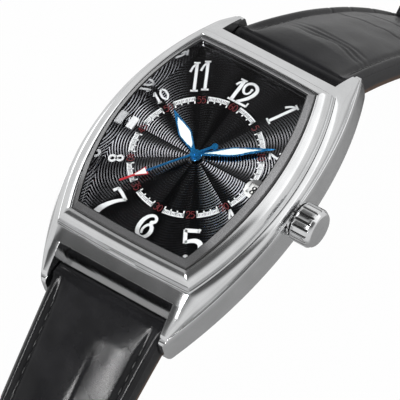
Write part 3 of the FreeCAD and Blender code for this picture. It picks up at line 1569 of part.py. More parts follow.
def strap_layer(line, runs, bottom_layer, tip):
    """Loft of one leather layer through sections along the line."""
    sections = []
    for run in runs:
        half = line.thickness(run) / 2
        split = -half + size("lining_thickness")
        width = line.width(run) * (tip_share(line, run) if tip else 1.0)
        low, high = (-half, split) if bottom_layer else (split, half)
        sections.append(line.section(run, low, high, width))
    return Part.makeLoft(sections, True, True)


def end_tube(line, run, radius, width):
    centre = line.point(run)
    return along_x(radius, width, -width / 2, centre.y, centre.z)


def lug_loop_radius():
    return size("strap_lug_thickness") / 2 + size("running_gap")


def across(line, run, radius):
    """Cylinder through the strap, square to its line."""
    slope = line.slope(run)
    reach = 2 * size("strap_lug_thickness")
    start = line.point(run, -reach)
    direction = Vec(0, line.sign * math.sin(slope), math.cos(slope))
    return Part.makeCylinder(radius, 2 * reach, start, direction)


def spread(start, end, steps):
    return [start + (end - start) * index / steps for index in range(steps + 1)]


def strap_holes():
    holes = []
    for index in range(count("hole_count")):
        run = LOWER.length - size("first_hole_from_tip") - index * size("hole_pitch")
        holes.append(across(LOWER, run, size("hole_radius")))
    return holes


def upper_runs():
    """Stations shared by both layers between the two loops."""
    start = lug_loop_radius() + size("strap_side_gap")
    end = UPPER.length - size("buckle_hub_radius") - size("strap_side_gap")
    return spread(start, end, count("strap_steps"))


def upper_top_shape():
    """Padded outer leather, looped round the spring bar and the buckle bar."""
    layer = strap_layer(UPPER, [0] + upper_runs() + [UPPER.length], False, False)
    lug_loop = end_tube(UPPER, 0, lug_loop_radius(), UPPER.width(0))
    buckle_loop = end_tube(UPPER, UPPER.length, size("buckle_hub_radius"), size("strap_end_width"))
    layer = layer.fuse([lug_loop, buckle_loop])
    layer = layer.cut(end_tube(UPPER, 0, size("bar_radius") + size("running_gap"), size("lug_gap")))
    layer = layer.cut(end_tube(UPPER, UPPER.length, size("buckle_bar_radius") + size("running_gap"),
                               size("lug_gap")))
    return layer.cut(tongue_slot()).removeSplitter()


def tongue_slot():
    """Slot in the strap's end for the tongue's eye."""
    width = size("tongue_slot")
    end = UPPER.point(UPPER.length)
    reach = 3 * size("buckle_hub_radius")
    start = UPPER.point(UPPER.length - reach)
    slot = along_x(size("buckle_hub_radius") * 1.3, width, -width / 2, end.y, end.z)
    slot = slot.fuse(along_x(size("buckle_hub_radius") * 1.3, width, -width / 2, start.y, start.z))
    path = UPPER.section(UPPER.length, -reach / 2, reach / 2, width)
    path_start = UPPER.section(UPPER.length - reach, -reach / 2, reach / 2, width)
    return slot.fuse(Part.makeLoft([path_start, path], True, True))


def upper_lining_shape():
    return strap_layer(UPPER, upper_runs(), True, False).cut(tongue_slot())


def lower_runs():
    """Stations shared by both layers, closer together in the rounded tip."""
    start = lug_loop_radius() + size("strap_side_gap")
    runs = spread(start, LOWER.length - size("tip_length"), count("strap_steps"))
    return runs + [LOWER.length - size("tip_length") * share for share in (0.75, 0.5, 0.25, 0.1, 0)]


def lower_top_shape():
    layer = strap_layer(LOWER, [0] + lower_runs(), False, True)
    layer = layer.fuse(end_tube(LOWER, 0, lug_loop_radius(), LOWER.width(0)))
    layer = layer.cut(end_tube(LOWER, 0, size("bar_radius") + size("running_gap"), size("lug_gap")))
    return layer.cut(strap_holes()).removeSplitter()


def lower_lining_shape():
    return strap_layer(LOWER, lower_runs(), True, True).cut(strap_holes())


shape_object(upper_top_shape(), "strap_upper")
shape_object(upper_lining_shape(), "strap_upper_lining")
shape_object(lower_top_shape(), "strap_lower")
shape_object(lower_lining_shape(), "strap_lower_lining")

# Buckle lying flat on the floor at the upper strap's end, with its bar and tongue

BUCKLE_AT = UPPER.point(UPPER.length)
BUCKLE_INNER = size("strap_end_width") / 2 + size("buckle_side_gap")


def buckle_frame_shape():
    """Rounded frame, open at the strap side, with a heavier outer bar."""
    rail = size("buckle_rail_width")
    outer = BUCKLE_INNER + rail
    reach = size("buckle_reach")
    back = size("buckle_hub_radius")
    height = size("buckle_height")
    low = FLOOR
    body = Part.makeBox(2 * outer, reach + back + rail, height, Vec(-outer, BUCKLE_AT.y - back, low))
    corners = [edge for edge in body.Edges if is_upright(edge) and middle_of(edge).y > BUCKLE_AT.y]
    body = body.makeFillet(rail * 1.6, corners)
    window = Part.makeBox(2 * BUCKLE_INNER, reach + back, height,
                          Vec(-BUCKLE_INNER, BUCKLE_AT.y - back, low))
    body = body.cut(window)
    bore = along_x(size("buckle_bar_radius"), 3 * outer, -1.5 * outer, BUCKLE_AT.y, BUCKLE_AT.z)
    return body.cut(bore).removeSplitter()


def is_upright(edge):
    box = edge.BoundBox
    return box.ZLength > 10 * max(box.XLength, box.YLength)


def buckle_bar_shape():
    half = BUCKLE_INNER + size("buckle_rail_width")
    return along_x(size("buckle_bar_radius"), 2 * half, -half, BUCKLE_AT.y, BUCKLE_AT.z)


def buckle_tongue_shape():
    """Eye round the bar and an arm that lies on the outer bar."""
    width = size("tongue_width")
    eye = size("buckle_hub_radius") - size("running_gap")
    reach = size("buckle_reach") + size("buckle_rail_width")
    lift = FLOOR + size("buckle_height") + size("running_gap") - BUCKLE_AT.z
    thick = size("tongue_thickness")
    start = size("buckle_reach") - size("running_gap")
    profile = [
        Vec(0, 0, eye - thick), Vec(0, 0, eye), Vec(0, start * 0.6, lift + thick * 0.95),
        Vec(0, reach, lift + thick * 0.8), Vec(0, reach, lift), Vec(0, start - thick / 2, lift)]
    arm = Part.Face(Part.makePolygon(profile + profile[:1])).extrude(Vec(width, 0, 0))
    arm.translate(Vec(-width / 2, BUCKLE_AT.y, BUCKLE_AT.z))
    hub = along_x(eye, width, -width / 2, BUCKLE_AT.y, BUCKLE_AT.z)
    bore = along_x(size("buckle_bar_radius") + size("running_gap"), 3 * width, -1.5 * width,
                   BUCKLE_AT.y, BUCKLE_AT.z)
    return hub.fuse(arm).cut(bore).removeSplitter()


shape_object(buckle_frame_shape(), "buckle_frame")
shape_object(buckle_bar_shape(), "buckle_bar")
shape_object(buckle_tongue_shape(), "buckle_tongue")

# Keepers: leather loops round the upper strap


def keeper_shape(place):
    """Loop with room for the strap's tail above the strap."""
    wall = size("keeper_wall")
    low = -size("strap_end_thickness") / 2 - size("keeper_gap")
    high = size("strap_end_thickness") / 2 + size("keeper_room")
    half = size("strap_end_width") / 2 + size("keeper_side_gap")
    length = size("keeper_width")
    outer = Part.makeBox(2 * (half + wall), length, high - low + 2 * wall,
                         Vec(-half - wall, -length / 2, low - wall))
    outer = outer.makeFillet(wall * 0.8, [edge for edge in outer.Edges if edge.BoundBox.YLength > wall])
    inner = Part.makeBox(2 * half, 2 * length, high - low, Vec(-half, -length, low))
    loop = outer.cut(inner)
    run = UPPER.length - place
    loop.rotate(Vec(0, 0, 0), Vec(1, 0, 0), -math.degrees(UPPER.slope(run)))
    loop.translate(UPPER.point(run))
    return loop


shape_object(keeper_shape(size("fixed_keeper_place")), "fixed_keeper")
shape_object(keeper_shape(size("free_keeper_place")), "free_keeper")

# Check every object, then write one file for each sub-part

doc.recompute()
for thing in doc.Objects:
    if "Invalid" in thing.State or "Error" in thing.State:
        raise RuntimeError("failed object: %s %s" % (thing.Name, thing.State))
for thing in finished:
    if thing.Shape.isNull() or not thing.Shape.isValid() or not thing.Shape.Solids:
        raise RuntimeError("bad shape: %s" % thing.Label)

os.makedirs("parts", exist_ok=True)
for thing in finished:
    thing.Shape.exportStep("parts/%s.step" % thing.Label)

print("sub-parts:", len(finished))
print("floor level:", round(FLOOR, 3))
print("lower end angle:", round(lower_end_angle(), 3))
for label, line in (("upper", UPPER), ("lower", LOWER)):
    end = line.point(line.length)
    print(label, "strap radius:", round(line.radius, 2), "end:", round(end.y, 2), round(end.z, 2))
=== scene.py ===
import json
import math

import bmesh
import bpy
import numpy as np
from mathutils import Matrix, Vector, noise


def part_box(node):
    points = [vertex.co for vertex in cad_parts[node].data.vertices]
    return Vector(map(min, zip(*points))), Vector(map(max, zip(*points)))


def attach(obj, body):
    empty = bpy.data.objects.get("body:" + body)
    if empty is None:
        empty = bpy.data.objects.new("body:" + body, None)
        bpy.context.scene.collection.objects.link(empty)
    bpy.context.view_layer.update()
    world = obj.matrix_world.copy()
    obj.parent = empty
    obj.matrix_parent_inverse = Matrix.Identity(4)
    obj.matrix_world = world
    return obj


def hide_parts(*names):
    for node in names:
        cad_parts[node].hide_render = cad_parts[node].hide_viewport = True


bl_info = {
    "name": "Tonneau Wristwatch",
    "version": (1, 0, 0),
    "blender": (4, 5, 0),
    "location": "View3D > Sidebar > Watch",
    "description": "Dresses the packed tonneau wristwatch with finished pieces and materials",
    "category": "Object",
}

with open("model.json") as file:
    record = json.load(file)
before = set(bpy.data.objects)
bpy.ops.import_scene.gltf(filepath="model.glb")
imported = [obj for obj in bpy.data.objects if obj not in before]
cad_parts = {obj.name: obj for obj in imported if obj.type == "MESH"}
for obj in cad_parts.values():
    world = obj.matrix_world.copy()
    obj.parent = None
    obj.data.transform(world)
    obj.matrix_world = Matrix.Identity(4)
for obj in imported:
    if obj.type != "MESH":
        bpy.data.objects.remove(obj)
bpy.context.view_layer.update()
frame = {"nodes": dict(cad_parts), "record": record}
MM = 0.001


def low_high(node):
    """Lowest and highest corner of a solid, in millimetres."""
    low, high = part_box(node)
    return np.array(low) / MM, np.array(high) / MM


def length(name, description, millimetres):
    return bpy.props.FloatProperty(
        name=name, description=description, default=millimetres * MM, unit="LENGTH", precision=5)


def angle(name, description, degrees):
    return bpy.props.FloatProperty(
        name=name, description=description, default=math.radians(degrees), subtype="ANGLE")


def colour(name, description, red, green, blue):
    return bpy.props.FloatVectorProperty(
        name=name, description=description, size=4, subtype="COLOR", min=0, max=1,
        default=(red, green, blue, 1))


DIAL_TOP = low_high("dial")[1][2]
FLOOR = low_high("buckle_frame")[0][2]
CASE_HIGH = low_high("case_middle")[1]


class CaseSizes(bpy.types.PropertyGroup):
    half_width: length("Half width", "Half the case width at its middle", CASE_HIGH[0])
    flank_radius: length("Flank radius", "Radius of the case flanks seen from above", 55.0)
    reach: length("Lug reach", "From the middle of the case to a lug tip", CASE_HIGH[1])
    body_half: length("Body half length", "From the middle to the wall between two lugs", 20.55)
    lug_gap: length("Lug gap", "Room between two lugs", 20.0)
    wall_top: length("Wall top", "Height of the flank's upper edge at the middle", 7.2)
    wall_top_radius: length("Wall top radius", "Radius of that edge seen from the side", 77.7)
    wall_bottom: length("Wall bottom", "Height of the flank's lower edge at the middle", 1.3)
    wall_bottom_radius: length("Wall bottom radius", "Radius of the lower edge", 87.0)
    shoulder_top: length("Shoulder top", "Height at the bezel's foot, at the middle", 8.5)
    shoulder_end: length("Shoulder end", "Height at the bezel's corners", 7.8)
    ledge: length("Ledge", "Narrow step between flank and shoulder", 0.35)
    lug_drop: length("Lug drop", "Fall from the bezel's corner to the lug tip", 4.95)
    lug_crest: length("Lug crest", "Distance of the lug's crest from the middle plane", 10.4)
    lug_round: length("Lug round", "Radius under the lug tips", 2.0)
    tip_round: length("Tip round", "Radius over the lug tips", 0.9)


class OpeningSizes(bpy.types.PropertyGroup):
    half_width: length("Half width", "Half the dial opening at its middle", 12.2)
    corner_x: length("Corner across", "Corner of the dial opening across", 9.25)
    corner_y: length("Corner along", "Corner of the dial opening along", 15.3)
    bulge: length("End bulge", "Bow of the short ends", 0.25)
    ridge: length("Ridge", "Bezel's inner edge outside the dial opening", 1.14)
    bezel_side: length("Bezel side", "Width of the bezel at the flanks", 2.0)
    bezel_end: length("Bezel end", "Width of the bezel at the ends", 1.8)
    bezel_top: length("Bezel top", "Height of the bezel's ridge", low_high("bezel")[1][2])
    bezel_step: length("Bezel step", "Height of the step at the bezel's foot", 8.85)
    bezel_seat: length("Bezel seat", "Height of the bezel's underside", low_high("bezel")[0][2])
    crystal_top: length("Crystal top", "Crest of the crystal", low_high("crystal")[1][2])
    crystal_bottom: length("Crystal bottom", "Underside of the crystal", low_high("crystal")[0][2])
    crystal_bevel: length("Crystal bevel", "Width of the crystal's bevel", 0.8)


class StrapSizes(bpy.types.PropertyGroup):
    bar_y: length("Bar distance", "Spring bar from the middle", 22.85)
    bar_z: length("Bar height", "Spring bar over the case back", 1.0)
    start_width: length("Lug width", "Width of the strap between the lugs", 19.6)
    end_width: length("End width", "Width of the strap at its end", 16.0)
    taper: length("Taper", "Length over which the strap narrows", 72.0)
    lug_thickness: length("Lug thickness", "Thickness at the lugs", 4.0)
    end_thickness: length("End thickness", "Thickness at the end", 2.4)
    padded: length("Padded length", "Length of the padded part", 46.0)
    lining: length("Lining", "Thickness of the lining leather", 0.9)
    upper_length: length("Upper length", "Length of the buckle half", 75.0)
    lower_length: length("Lower length", "Length of the half with holes", 112.0)
    stitch: length("Stitch", "Pitch of the stitches", 2.1)


class WatchColours(bpy.types.PropertyGroup):
    steel: colour("Steel", "Polished case steel", 0.66, 0.665, 0.67)
    dial: colour("Dial", "Lacquered dial", 0.030, 0.030, 0.032)
    print_white: colour("Print", "White print", 0.74, 0.75, 0.76)
    print_red: colour("Red print", "Dark red minute numbers", 0.11, 0.010, 0.012)
    blued: colour("Blued steel", "Heat blued hands", 0.018, 0.21, 0.50)
    lume: colour("Lume", "Luminous paste", 0.70, 0.78, 0.76)
    leather: colour("Leather", "Glossy strap leather", 0.0045, 0.0045, 0.005)
    lining: colour("Lining leather", "Smooth lining", 0.060, 0.035, 0.022)
    brass: colour("Brass", "Gilt wheels", 0.62, 0.44, 0.18)


def mm(value):
    return value / MM


def settings():
    scene = bpy.context.scene
    return scene.watch_case, scene.watch_opening, scene.watch_strap, scene.watch_colours


# Shader maths


class Wire:
    """A number that comes out of a node, for use in expressions."""

    def __init__(self, finish, socket):
        self.finish = finish
        self.socket = socket

    def maths(self, operation, *others):
        node = self.finish.node("ShaderNodeMath", {"operation": operation}, self, *others)
        return Wire(self.finish, node.outputs[0])

    def __add__(self, other):
        return self.maths("ADD", other)

    def __sub__(self, other):
        return self.maths("SUBTRACT", other)

    def __mul__(self, other):
        return self.maths("MULTIPLY", other)

    def __truediv__(self, other):
        return self.maths("DIVIDE", other)

    def __pow__(self, other):
        return self.maths("POWER", other)

    def __rsub__(self, other):
        return self.maths("MULTIPLY", -1.0).maths("ADD", other)

    def __neg__(self):
        return self.maths("MULTIPLY", -1.0)

    __radd__ = __add__
    __rmul__ = __mul__

    def sin(self):
        return self.maths("SINE")

    def abs(self):
        return self.maths("ABSOLUTE")

    def soft(self, low, high):
        """0 below one level, 1 above the other, smooth between them."""
        node = self.finish.node(
            "ShaderNodeMapRange", {"interpolation_type": "SMOOTHSTEP"}, self, low, high, 0.0, 1.0)
        return Wire(self.finish, node.outputs[0])


class Graph:
    """A shader tree and the nodes in it."""

    def __init__(self, tree):
        self.tree = tree
        self.tree.nodes.clear()

    def node(self, kind, settings=None, *values, **named):
        """Any node: its settings first, then its sockets by order or name."""
        node = self.tree.nodes.new(kind)
        for key, value in (settings or {}).items():
            if key == "stops":
                self.fill_ramp(node.color_ramp, value)
            else:
                setattr(node, key, value)
        for place, value in enumerate(values):
            self.feed(node.inputs[place], value)
        for name, value in named.items():
            self.feed(node.inputs[name.replace("_", " ")], value)
        return node

    def fill_ramp(self, ramp, stops):
        while len(ramp.elements) < len(stops):
            ramp.elements.new(0.5)
        for element, (place, shade) in zip(ramp.elements, stops):
            element.position = place
            element.color = shade if len(shade) == 4 else (*shade, 1)

    def feed(self, socket, value):
        if isinstance(value, Wire):
            self.tree.links.new(value.socket, socket)
        elif isinstance(value, bpy.types.NodeSocket):
            self.tree.links.new(value, socket)
        elif value is not None:
            socket.default_value = value


class Repeat(Graph):
    """A geometry tree that sets copies of a shape on points and gives them one finish."""

    def __init__(self, name, inputs):
        super().__init__(bpy.data.node_groups.new(name, "GeometryNodeTree"))
        sockets = self.tree.interface
        sockets.new_socket("Geometry", in_out="INPUT", socket_type="NodeSocketGeometry")
        for label, kind in inputs.items():
            sockets.new_socket(label, in_out="INPUT", socket_type=kind)
        sockets.new_socket("Geometry", in_out="OUTPUT", socket_type="NodeSocketGeometry")
        self.entry, self.leave = self.node("NodeGroupInput"), self.node("NodeGroupOutput")

    def copies(self, points, shape, spin, finish):
        """Copies of the shape on the points, turned, made real and finished."""
        placed = self.node("GeometryNodeInstanceOnPoints", None, Points=points, Instance=shape,
                           Rotation=spin)
        real = self.node("GeometryNodeRealizeInstances", None, placed.outputs[0])
        dressed = self.node("GeometryNodeSetMaterial", None, real.outputs[0],
                            Material=finish_named(finish))
        self.feed(self.leave.inputs["Geometry"], dressed.outputs[0])

    def apply_to(self, piece, **values):
        """Works the tree into a piece's mesh, with its named inputs set."""
        modifier = piece.modifiers.new(self.tree.name, "NODES")
        modifier.node_group = self.tree
        for socket in self.tree.interface.items_tree:
            if socket.name in values:
                modifier[socket.identifier] = values[socket.name]
        applied(piece)


class Finish(Graph):
    """A material with one surface."""

    def __init__(self, name):
        self.material = bpy.data.materials.new(name)
        self.material.use_nodes = True
        super().__init__(self.material.node_tree)
        self.output = self.tree.nodes.new("ShaderNodeOutputMaterial")
        self.surface = self.tree.nodes.new("ShaderNodeBsdfPrincipled")
        self.tree.links.new(self.surface.outputs[0], self.output.inputs[0])

    def set(self, **named):
        for name, value in named.items():
            self.feed(self.surface.inputs[name.replace("_", " ")], value)
        return self

    def place(self, *scale):
        """Object coordinates in millimetres, stretched by a scale."""
        coordinates = self.node("ShaderNodeTexCoord")
        factors = [1 / MM * value for value in (scale or (1, 1, 1))]
        mapping = self.node("ShaderNodeMapping", None, coordinates.outputs["Object"])
        mapping.inputs["Scale"].default_value = factors
        return mapping.outputs[0]

    def axes(self, *scale):
        split = self.node("ShaderNodeSeparateXYZ", None, self.place(*scale))
        return [Wire(self, split.outputs[index]) for index in range(3)]

    def grain(self, size, detail=2.0, roughness=0.5, scale=(1, 1, 1)):
        texture = self.node("ShaderNodeTexNoise", None, Vector=self.place(*scale), Scale=1 / size,
                            Detail=detail, Roughness=roughness)
        return Wire(self, texture.outputs["Fac"])

    def blend(self, factor, first, second):
        """Mix of two colours."""
        mix = self.node("ShaderNodeMix", {"data_type": "RGBA"})
        self.feed(mix.inputs["Factor"], factor)
        self.feed(mix.inputs[6], first)
        self.feed(mix.inputs[7], second)
        return mix.outputs[2]

    def ramp(self, factor, *stops):
        node = self.node("ShaderNodeValToRGB", {"stops": stops}, factor)
        return node.outputs[0]

    def relief(self, height, depth, strength=1.0):
        """Bump whose depth is in millimetres."""
        bump = self.node("ShaderNodeBump", None, Strength=strength, Distance=depth * MM,
                         Height=height)
        self.feed(self.surface.inputs["Normal"], bump.outputs[0])


FINISHES = {}


def finish_named(name):
    if name not in FINISHES:
        FINISHES[name] = MAKERS[name]().material
    return FINISHES[name]


def shade(value, scale=1.0):
    return (value[0] * scale, value[1] * scale, value[2] * scale, 1)


MAKERS = {}


def maker(build):
    """Enters a material's function under its own name."""
    MAKERS[build.__name__] = build
    return build


def colours():
    return settings()[3]


def speckled(name, size, dark, light, roughness, spread=0.0, detail=2.0, grit=0.5,
             stretch=(1, 1, 1), levels=(0.3, 0.7), relief=None, **constants):
    """A finish whose colour, roughness and relief follow one noise; its size is in millimetres."""
    finish = Finish(name)
    tooth = finish.grain(size, detail, grit, stretch)
    finish.set(Base_Color=finish.ramp(tooth, (levels[0], dark), (levels[1], light)),
               Roughness=tooth * spread + roughness if spread else roughness, **constants)
    if relief:
        finish.relief(tooth, *relief)
    return finish


@maker
def polished_steel():
    """Bright steel with faint polishing lines and a little haze."""
    steel = Finish("polished_steel")
    tone = colours().steel
    haze = steel.grain(4.0, 3.0)
    lines = steel.grain(0.35, 2.0, 0.6, (1.0, 0.12, 1.0))
    steel.set(Base_Color=steel.ramp(haze, (0.3, shade(tone, 0.94)), (0.7, shade(tone, 1.05))),
              Metallic=1.0, Roughness=0.12 + haze * 0.05 + lines * 0.02)
    steel.relief(lines, 0.001, 0.3)
    return steel


@maker
def satin_steel():
    """Fine blasted steel of the flat ends."""
    tone = colours().steel
    return speckled("satin_steel", 0.08, shade(tone, 0.98), shade(tone, 1.08), 0.46, 0.08,
                    detail=3.0, grit=0.6, relief=(0.002, 0.3), Metallic=0.2)


@maker
def groove_steel():
    """Dark steel as painted shade in the bottom of the crown's grooves and round its neck."""
    return speckled("groove_steel", 0.1, (0.05, 0.05, 0.05), (0.10, 0.10, 0.10), 0.35, 0.1,
                    Metallic=0.8)


@maker
def brushed_steel():
    """Satin steel with long fine lines."""
    tone = colours().steel
    return speckled("brushed_steel", 0.12, shade(tone, 0.82), shade(tone, 1.0), 0.26, 0.14,
                    detail=3.0, grit=0.7, stretch=(1.0, 0.03, 1.0), levels=(0.25, 0.75),
                    relief=(0.004, 0.5), Metallic=1.0)


@maker
def mirror_wall():
    """Polished inner wall between dial and crystal."""
    return speckled("mirror_wall", 2.0, (0.50, 0.50, 0.51), (0.58, 0.58, 0.59), 0.03, 0.03,
                    Metallic=1.0)


@maker
def crystal_glass():
    """Clear crystal: reflections over a see-through body."""
    glass = Finish("crystal_glass")
    glass.tree.nodes.remove(glass.surface)
    fresnel = glass.node("ShaderNodeFresnel", None, IOR=1.5)
    smears = glass.grain(6.0, 2.0)
    gloss = glass.node("ShaderNodeBsdfGlossy", None, Color=(1, 1, 1, 1), Roughness=0.02)
    clear = glass.node("ShaderNodeBsdfTransparent", None,
                       Color=glass.ramp(smears, (0.2, (0.97, 0.98, 0.98)), (0.8, (1, 1, 1))))
    mix = glass.node("ShaderNodeMixShader", None, Wire(glass, fresnel.outputs[0]) * 0.85,
                     clear.outputs[0], gloss.outputs[0])
    glass.feed(glass.output.inputs[0], mix.outputs[0])
    return glass


@maker
def crystal_bevel():
    """Ground bevel of the crystal: grey, with fine lines, and painted shade at the lower end."""
    bevel = Finish("crystal_bevel")
    lines = bevel.grain(0.2, 2.0)
    x, y, z = bevel.axes()
    # Painted shade: the bevel's colour darkens towards the lower end, where its reflection turns
    # away from the light.
    lower = (-y).soft(11.0, 13.5)
    clear = bevel.ramp(lines, (0.3, (0.20, 0.20, 0.205)), (0.7, (0.27, 0.27, 0.275)))
    bevel.set(Base_Color=bevel.blend(lower, clear, (0.10, 0.10, 0.102, 1)),
              Metallic=0.55, Roughness=0.12 + lines * 0.04, Alpha=0.75)
    return bevel


FANS = 12
RING_PITCH = 0.396


@maker
def dial_lacquer():
    """Black lacquer over engine turning: rings bowed out in twelve fans round the centre; the ring
    crests carry painted reflections, brightest towards 3 and 9 o'clock and in the first part of
    each fan.
    """
    dial = Finish("dial_lacquer")
    x, y, z = dial.axes()
    radius = (x * x + y * y) ** 0.5
    turn = x.maths("ARCTAN2", y) * (FANS / (2 * math.pi)) + float(FANS)
    share = turn.maths("FRACT")
    bow = share * 1.5 - share * share * 1.5
    wave = (radius - radius * bow * 0.14) * (2 * math.pi / RING_PITCH)
    ring = wave.sin()
    dust = dial.grain(0.4, 2.0)
    base = colours().dial
    # Painted reflection: the ring crests are coloured brighter towards 3 and 9 o'clock and in the
    # first part of each fan, where they would catch the light.
    side = (x.abs() / (radius + 0.5)).soft(0.35, 0.95) * 0.88 + 0.12
    painted_sheen = side * (1.0 - share.soft(0.42, 0.8) * 0.85)
    dial.set(Base_Color=dial.blend(ring.soft(-0.2, 0.8) * painted_sheen, shade(base, 0.2),
                                   shade(base, 32.0)),
             Metallic=1.0, Roughness=0.09 + dust * 0.03)
    dial.relief(ring, 0.024, 1.0)
    return dial


@maker
def dial_print():
    """White print with a little tooth."""
    tone = colours().print_white
    return speckled("dial_print", 0.12, shade(tone, 0.88), shade(tone, 1.0), 0.42, 0.1,
                    relief=(0.004, 0.5))


@maker
def numeral_rim():
    """Grey edge of the raised numerals."""
    return speckled("numeral_rim", 0.15, (0.20, 0.20, 0.21), (0.30, 0.30, 0.31), 0.3, 0.1,
                    Metallic=0.6)


@maker
def red_print():
    """Dark red print of the minute numbers."""
    tone = colours().print_red
    return speckled("red_print", 0.12, shade(tone, 0.8), shade(tone, 1.15), 0.45)


@maker
def signal_red():
    """Bright red lacquer of the seconds hand's tip."""
    return speckled("signal_red", 0.12, (0.36, 0.012, 0.02), (0.46, 0.02, 0.03), 0.3)


@maker
def blued_steel():
    """Heat blued, polished steel, a shade lighter in places."""
    tone = colours().blued
    return speckled("blued_steel", 1.6, shade(tone, 0.8), shade(tone, 1.35), 0.22, 0.1,
                    levels=(0.3, 0.75), Metallic=0.75)


@maker
def lume_paste():
    """Grainy luminous paste."""
    tone = colours().lume
    return speckled("lume_paste", 0.09, shade(tone, 0.93), shade(tone, 1.05), 0.5, detail=3.0,
                    relief=(0.01, 0.5))


@maker
def date_ground():
    """Printed disc under the window."""
    return speckled("date_ground", 0.2, (0.66, 0.66, 0.65), (0.76, 0.76, 0.75), 0.5)


@maker
def date_plate():
    """White plate about the window, with painted shade over its upper side."""
    plate = Finish("date_plate")
    x, y, z = plate.axes()
    # Painted shade: white at the lower left, going to dark grey towards the upper right.
    across = (y * 0.8 + x * 0.35 - 3.3).soft(-0.5, 0.9)
    plate.set(Base_Color=plate.ramp(across, (0.0, (0.72, 0.72, 0.71)), (1.0, (0.10, 0.10, 0.10))),
              Roughness=0.4 + plate.grain(0.2) * 0.1)
    return plate


@maker
def date_ink():
    """Black print of the day's number."""
    return speckled("date_ink", 0.12, (0.006, 0.006, 0.006), (0.016, 0.016, 0.016), 0.5)


@maker
def strap_leather():
    """Glossy black leather: pores, soft grain and gloss that varies in patches."""
    hide = Finish("strap_leather")
    tone = colours().leather
    pores = hide.grain(0.22, 4.0, 0.65)
    patches = hide.grain(5.0, 3.0)
    crackle = hide.node("ShaderNodeTexVoronoi", {"feature": "DISTANCE_TO_EDGE"},
                        Vector=hide.place(0.7, 1.6, 1.6), Scale=0.55)
    furrow = Wire(hide, crackle.outputs["Distance"]).soft(0.0, 0.16)
    lumps = hide.grain(1.6, 2.0)
    hide.set(Base_Color=hide.ramp(patches, (0.3, shade(tone, 0.8)), (0.7, shade(tone, 1.6))),
             Roughness=0.14 + patches * 0.08 + pores * 0.12, Specular_IOR_Level=0.2)
    hide.relief(pores + furrow * 0.16 + lumps * 1.4, 0.035, 0.55)
    return hide


@maker
def strap_edge():
    """Painted edge of the strap, duller than its face."""
    tone = colours().leather
    return speckled("strap_edge", 0.3, shade(tone, 0.9), shade(tone, 2.2), 0.34, 0.15,
                    detail=3.0, grit=0.6, stretch=(1, 0.3, 0.3), relief=(0.02, 0.5),
                    Specular_IOR_Level=0.3)


@maker
def lining_leather():
    """Smooth calf with fine pores and a warmer tone."""
    hide = Finish("lining_leather")
    tone = colours().lining
    pores = hide.grain(0.2, 4.0, 0.65)
    patches = hide.grain(6.0, 2.0)
    hide.set(Base_Color=hide.ramp(patches, (0.3, shade(tone, 0.8)), (0.7, shade(tone, 1.25))),
             Roughness=0.55 + pores * 0.2)
    hide.relief(pores, 0.03, 0.6)
    return hide


@maker
def thread():
    """Waxed black thread with its twist."""
    return speckled("thread", 0.1, (0.006, 0.006, 0.006), (0.03, 0.03, 0.03), 0.35, 0.2,
                    stretch=(1, 2.5, 2.5), relief=(0.02, 0.6))


@maker
def gilt_brass():
    """Gilt wheels of the movement."""
    tone = colours().brass
    return speckled("gilt_brass", 0.2, shade(tone, 0.85), shade(tone, 1.1), 0.22, 0.12,
                    detail=3.0, Metallic=1.0)


@maker
def rhodium_plate():
    """Plated movement parts with straight ribbed polishing."""
    metal = Finish("rhodium_plate")
    x, y, z = metal.axes()
    rib_pitch = 1.4
    ribs = (x * (2 * math.pi / rib_pitch)).sin().soft(-0.6, 0.6)
    fine = metal.grain(0.1, 3.0, 0.7, (1.0, 0.05, 1.0))
    metal.set(Base_Color=metal.ramp(ribs, (0.2, (0.50, 0.50, 0.48)), (0.8, (0.66, 0.66, 0.63))),
              Metallic=1.0, Roughness=0.22 + fine * 0.12)
    metal.relief(fine, 0.004, 0.4)
    return metal


@maker
def seal_rubber():
    """Black rubber of the gaskets."""
    return speckled("seal_rubber", 0.2, (0.012, 0.012, 0.012), (0.03, 0.03, 0.03), 0.6, 0.2,
                    detail=3.0)


@maker
def holder_plastic():
    """Dark plastic of the movement holder."""
    return speckled("holder_plastic", 0.3, (0.02, 0.02, 0.022), (0.035, 0.035, 0.037), 0.5, 0.15,
                    detail=3.0)


# Meshes


def new_piece(name, points, faces, finishes, body, smooth=30.0, marks=None, shell=False):
    """A piece in its place: points in millimetres, faces by index, one finish or more.

    A shell gets its faces turned outwards. Marks say which finish each face has."""
    mesh = bpy.data.meshes.new(name)
    mesh.from_pydata([tuple(point) for point in np.asarray(points, float) * MM], [],
                     [tuple(int(corner) for corner in face) for face in faces])
    mesh.validate()
    for finish in finishes:
        mesh.materials.append(finish_named(finish))
    if marks is not None:
        mesh.polygons.foreach_set("material_index", marks)
    piece = bpy.data.objects.new(name, mesh)
    bpy.context.scene.collection.objects.link(piece)
    if shell:
        outward(mesh)
    smoothed(mesh, smooth)
    if body:
        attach(piece, body)
    return piece


def smoothed(mesh, degrees):
    mesh.polygons.foreach_set("use_smooth", [True] * len(mesh.polygons))
    mesh.set_sharp_from_angle(angle=math.radians(degrees))
    mesh.update()


def outward(mesh):
    """Points every face out of its closed shell."""
    shape = bmesh.new()
    shape.from_mesh(mesh)
    bmesh.ops.remove_doubles(shape, verts=shape.verts, dist=1e-7)
    bmesh.ops.recalc_face_normals(shape, faces=shape.faces)
    shape.to_mesh(mesh)
    shape.free()


def applied(piece):
    """The piece with its modifiers worked into its mesh."""
    graph = bpy.context.evaluated_depsgraph_get()
    mesh = bpy.data.meshes.new_from_object(piece.evaluated_get(graph))
    old = piece.data
    piece.modifiers.clear()
    piece.data = mesh
    mesh.name = piece.name
    if old.users == 0:
        bpy.data.meshes.remove(old)
    return piece


def grid_faces(rows, columns, wrap_columns=False, start=0):
    """Quads of a grid of points laid out row by row."""
    faces = []
    last = columns if wrap_columns else columns - 1
    for row in range(rows - 1):
        for column in range(last):
            after = (column + 1) % columns
            first = start + row * columns
            faces.append((first + column, first + after, first + columns + after,
                          first + columns + column))
    return faces


